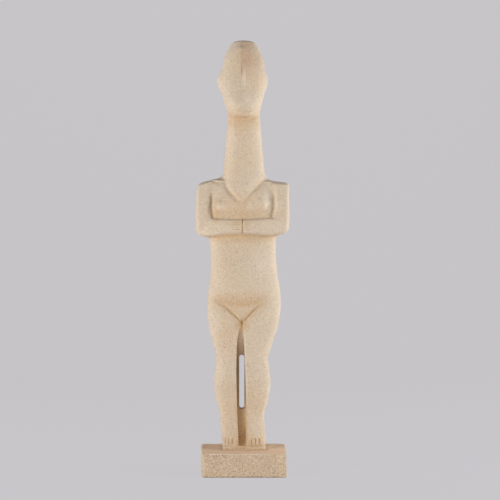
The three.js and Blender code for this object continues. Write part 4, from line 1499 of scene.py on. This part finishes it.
class FIGURINE_OT_block(bpy.types.Operator):
    """Build the block base"""

    bl_idname = "figurine.block"
    bl_label = "Block base"

    def execute(self, context):
        block = settings("block")
        stone = settings("stone")
        material = stone_material(
            "broken sandstone", stone.block, block_light_shade_and_marks, grain_scale=760.0, pale=0.45, brown=0.24,
            pale_strength=0.8, brown_strength=0.5, roughness=0.9, bump=0.8)
        carrier = put_in_scene("block carrier", bpy.data.meshes.new("block carrier"))
        mesh = apply_tree(carrier, block_tree(), {
            "Width": block.width - 2 * block.skin, "Depth": block.depth - 2 * block.skin,
            "Height": block.height, "Corner": block.corner, "Worn Corner": block.worn_corner,
            "Back Flare": block.back_flare, "Sideways": block.sideways, "Back Lift": block.back_lift,
            "Edge": block.edge, "Spacing": block.spacing, "Roughness": block.roughness,
            "Material": material})
        bpy.data.objects.remove(carrier)
        mesh.name = "broken_block"
        piece = put_in_scene("broken_block", mesh)
        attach(piece, "root")
        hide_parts("base_block")
        return {"FINISHED"}


class FIGURINE_OT_grains(bpy.types.Operator):
    """Strew the pale grains on the block's broken faces"""

    bl_idname = "figurine.grains"
    bl_label = "Grains"

    def execute(self, context):
        block = settings("block")
        stone = settings("stone")
        material = stone_material(
            "pale grain", stone.light_grain, None, grain_scale=1500.0, pale=0.3, brown=0.1,
            pale_strength=0.5, brown_strength=0.3, roughness=0.8, bump=0.2)
        carrier = put_in_scene("grain carrier", bpy.data.objects["broken_block"].data.copy())
        mesh = apply_tree(carrier, grain_tree(), {
            "Density": block.grains, "Largest": block.grain_size, "Seed": GRAIN_SEED,
            "Material": material})
        bpy.data.objects.remove(carrier)
        mesh.name = "block_grains"
        piece = put_in_scene("block_grains", mesh)
        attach(piece, "root")
        return {"FINISHED"}


# Stage

SENSOR_WIDTH = 36.0
SWEEP = {"reach": 4.0, "back": 1.6, "radius": 0.8, "height": 3.5}
# Soft boxes: setting with the watts, place, size, colour
SOFT_BOXES = [
    ("key", (-0.98, -0.48, 0.25), (0.45, 1.0), (0.94, 0.965, 1.0)),
    ("rim", (1.1, -0.15, 0.25), (0.45, 1.0), (0.9, 0.95, 1.0)),
    ("fill", (0.05, -1.6, 0.35), (1.4, 0.8), (1.0, 0.99, 0.97)),
]


def sweep_mesh(reach, back, radius, height):
    """A floor that curves up into a wall behind, as one sheet."""
    line = [(-reach, 0.0), (back - radius, 0.0)]
    turns = 24
    for i in range(1, turns + 1):
        angle = math.pi / 2 * i / turns
        line.append((back - radius + radius * math.sin(angle), radius - radius * math.cos(angle)))
    line.append((back, height))
    places = np.array([(side * reach, y, z) for y, z in line for side in (-1, 1)])
    rows = np.arange(len(line) - 1)
    faces = np.stack([2 * rows, 2 * rows + 1, 2 * rows + 3, 2 * rows + 2], 1)
    return mesh_from("paper sweep", places, faces)


def soft_box(name, place, target, size, watts, colour):
    light = bpy.data.lights.new(name, "AREA")
    light.shape = "RECTANGLE"
    light.size, light.size_y = size
    light.energy = watts
    light.color = colour
    lamp = bpy.data.objects.new(name, light)
    lamp.location = place
    away = np.array(place) - np.array(target)
    lamp.rotation_euler = direction_turn(away)
    bpy.context.scene.collection.objects.link(lamp)


def direction_turn(away):
    """The turn that points a lamp's or a camera's -Z against the given direction."""
    x, y, z = away / np.linalg.norm(away)
    return (math.acos(z), 0.0, math.atan2(x, -y))


def studio_air(backdrop):
    """Nearly dark air that looks like the paper where the sheet ends."""
    world = bpy.data.worlds.new("studio air")
    world.use_nodes = True
    world.node_tree.nodes.clear()
    tree = Tree(world.node_tree)
    dark = tree.node("ShaderNodeBackground", {"Color": (0.9, 0.92, 1.0, 1), "Strength": 0.02})[0]
    pale = tree.node("ShaderNodeBackground", {"Color": (*backdrop, 1), "Strength": 1.0})[0]
    seen = tree.node("ShaderNodeLightPath")["Is Camera Ray"]
    both = tree.node("ShaderNodeMixShader", {0: seen, 1: dark, 2: pale})[0]
    tree.node("ShaderNodeOutputWorld", {"Surface": both})
    return world


class FIGURINE_OT_stage(bpy.types.Operator):
    """Set up the camera, the soft boxes and the paper sweep"""

    bl_idname = "figurine.stage"
    bl_label = "Studio"

    def execute(self, context):
        studio = settings("studio")
        scene = context.scene
        camera_data = bpy.data.cameras.new("studio camera")
        camera_data.lens = studio.lens
        camera_data.sensor_width = SENSOR_WIDTH
        camera_data.clip_end = 20.0
        camera = bpy.data.objects.new("studio camera", camera_data)
        camera.location = (studio.offset, -studio.distance, studio.eye_height)
        camera.rotation_euler = (math.pi / 2, 0.0, 0.0)
        scene.collection.objects.link(camera)
        scene.camera = camera

        paper = put_in_scene("paper_sweep", sweep_mesh(**SWEEP))
        paper.data.materials.append(paper_material(studio.backdrop))

        middle = (0.0, 0.0, FIGURE_HIGH.z / 2)
        for key, place, size, tone in SOFT_BOXES:
            soft_box(key + " box", place, middle, size, getattr(studio, key), tone)

        scene.world = studio_air(studio.backdrop)
        scene.view_settings.view_transform = "Standard"
        scene.view_settings.look = "None"
        return {"FINISHED"}


class FIGURINE_PT_panel(bpy.types.Panel):
    """Settings and steps of the figurine"""

    bl_label = "Figurine"
    bl_idname = "FIGURINE_PT_panel"
    bl_space_type = "VIEW_3D"
    bl_region_type = "UI"
    bl_category = "Figurine"

    def draw(self, context):
        for group, kind in SETTING_GROUPS:
            box = self.layout.box()
            box.label(text=kind.__doc__.rstrip("."))
            for key in kind.__annotations__:
                box.prop(settings(group), key)
        for operator in OPERATORS:
            self.layout.operator(operator.bl_idname)


SETTING_GROUPS = [
    ("figure", FigureSettings),
    ("carving", CarvingSettings),
    ("block", BlockSettings),
    ("stone", StoneSettings),
    ("studio", StudioSettings),
]
OPERATORS = [FIGURINE_OT_stage, FIGURINE_OT_figure, FIGURINE_OT_block, FIGURINE_OT_grains]


def register():
    for name, kind in SETTING_GROUPS:
        bpy.utils.register_class(kind)
        setattr(bpy.types.Scene, name, bpy.props.PointerProperty(type=kind))
    for kind in (*OPERATORS, FIGURINE_PT_panel):
        bpy.utils.register_class(kind)


def unregister():
    for kind in (FIGURINE_PT_panel, *reversed(OPERATORS)):
        bpy.utils.unregister_class(kind)
    for name, kind in reversed(SETTING_GROUPS):
        delattr(bpy.types.Scene, name)
        bpy.utils.unregister_class(kind)


def main():
    register()
    bpy.ops.figurine.stage()
    bpy.ops.figurine.figure()
    bpy.ops.figurine.block()
    bpy.ops.figurine.grains()


if __name__ == "__main__":
    main()
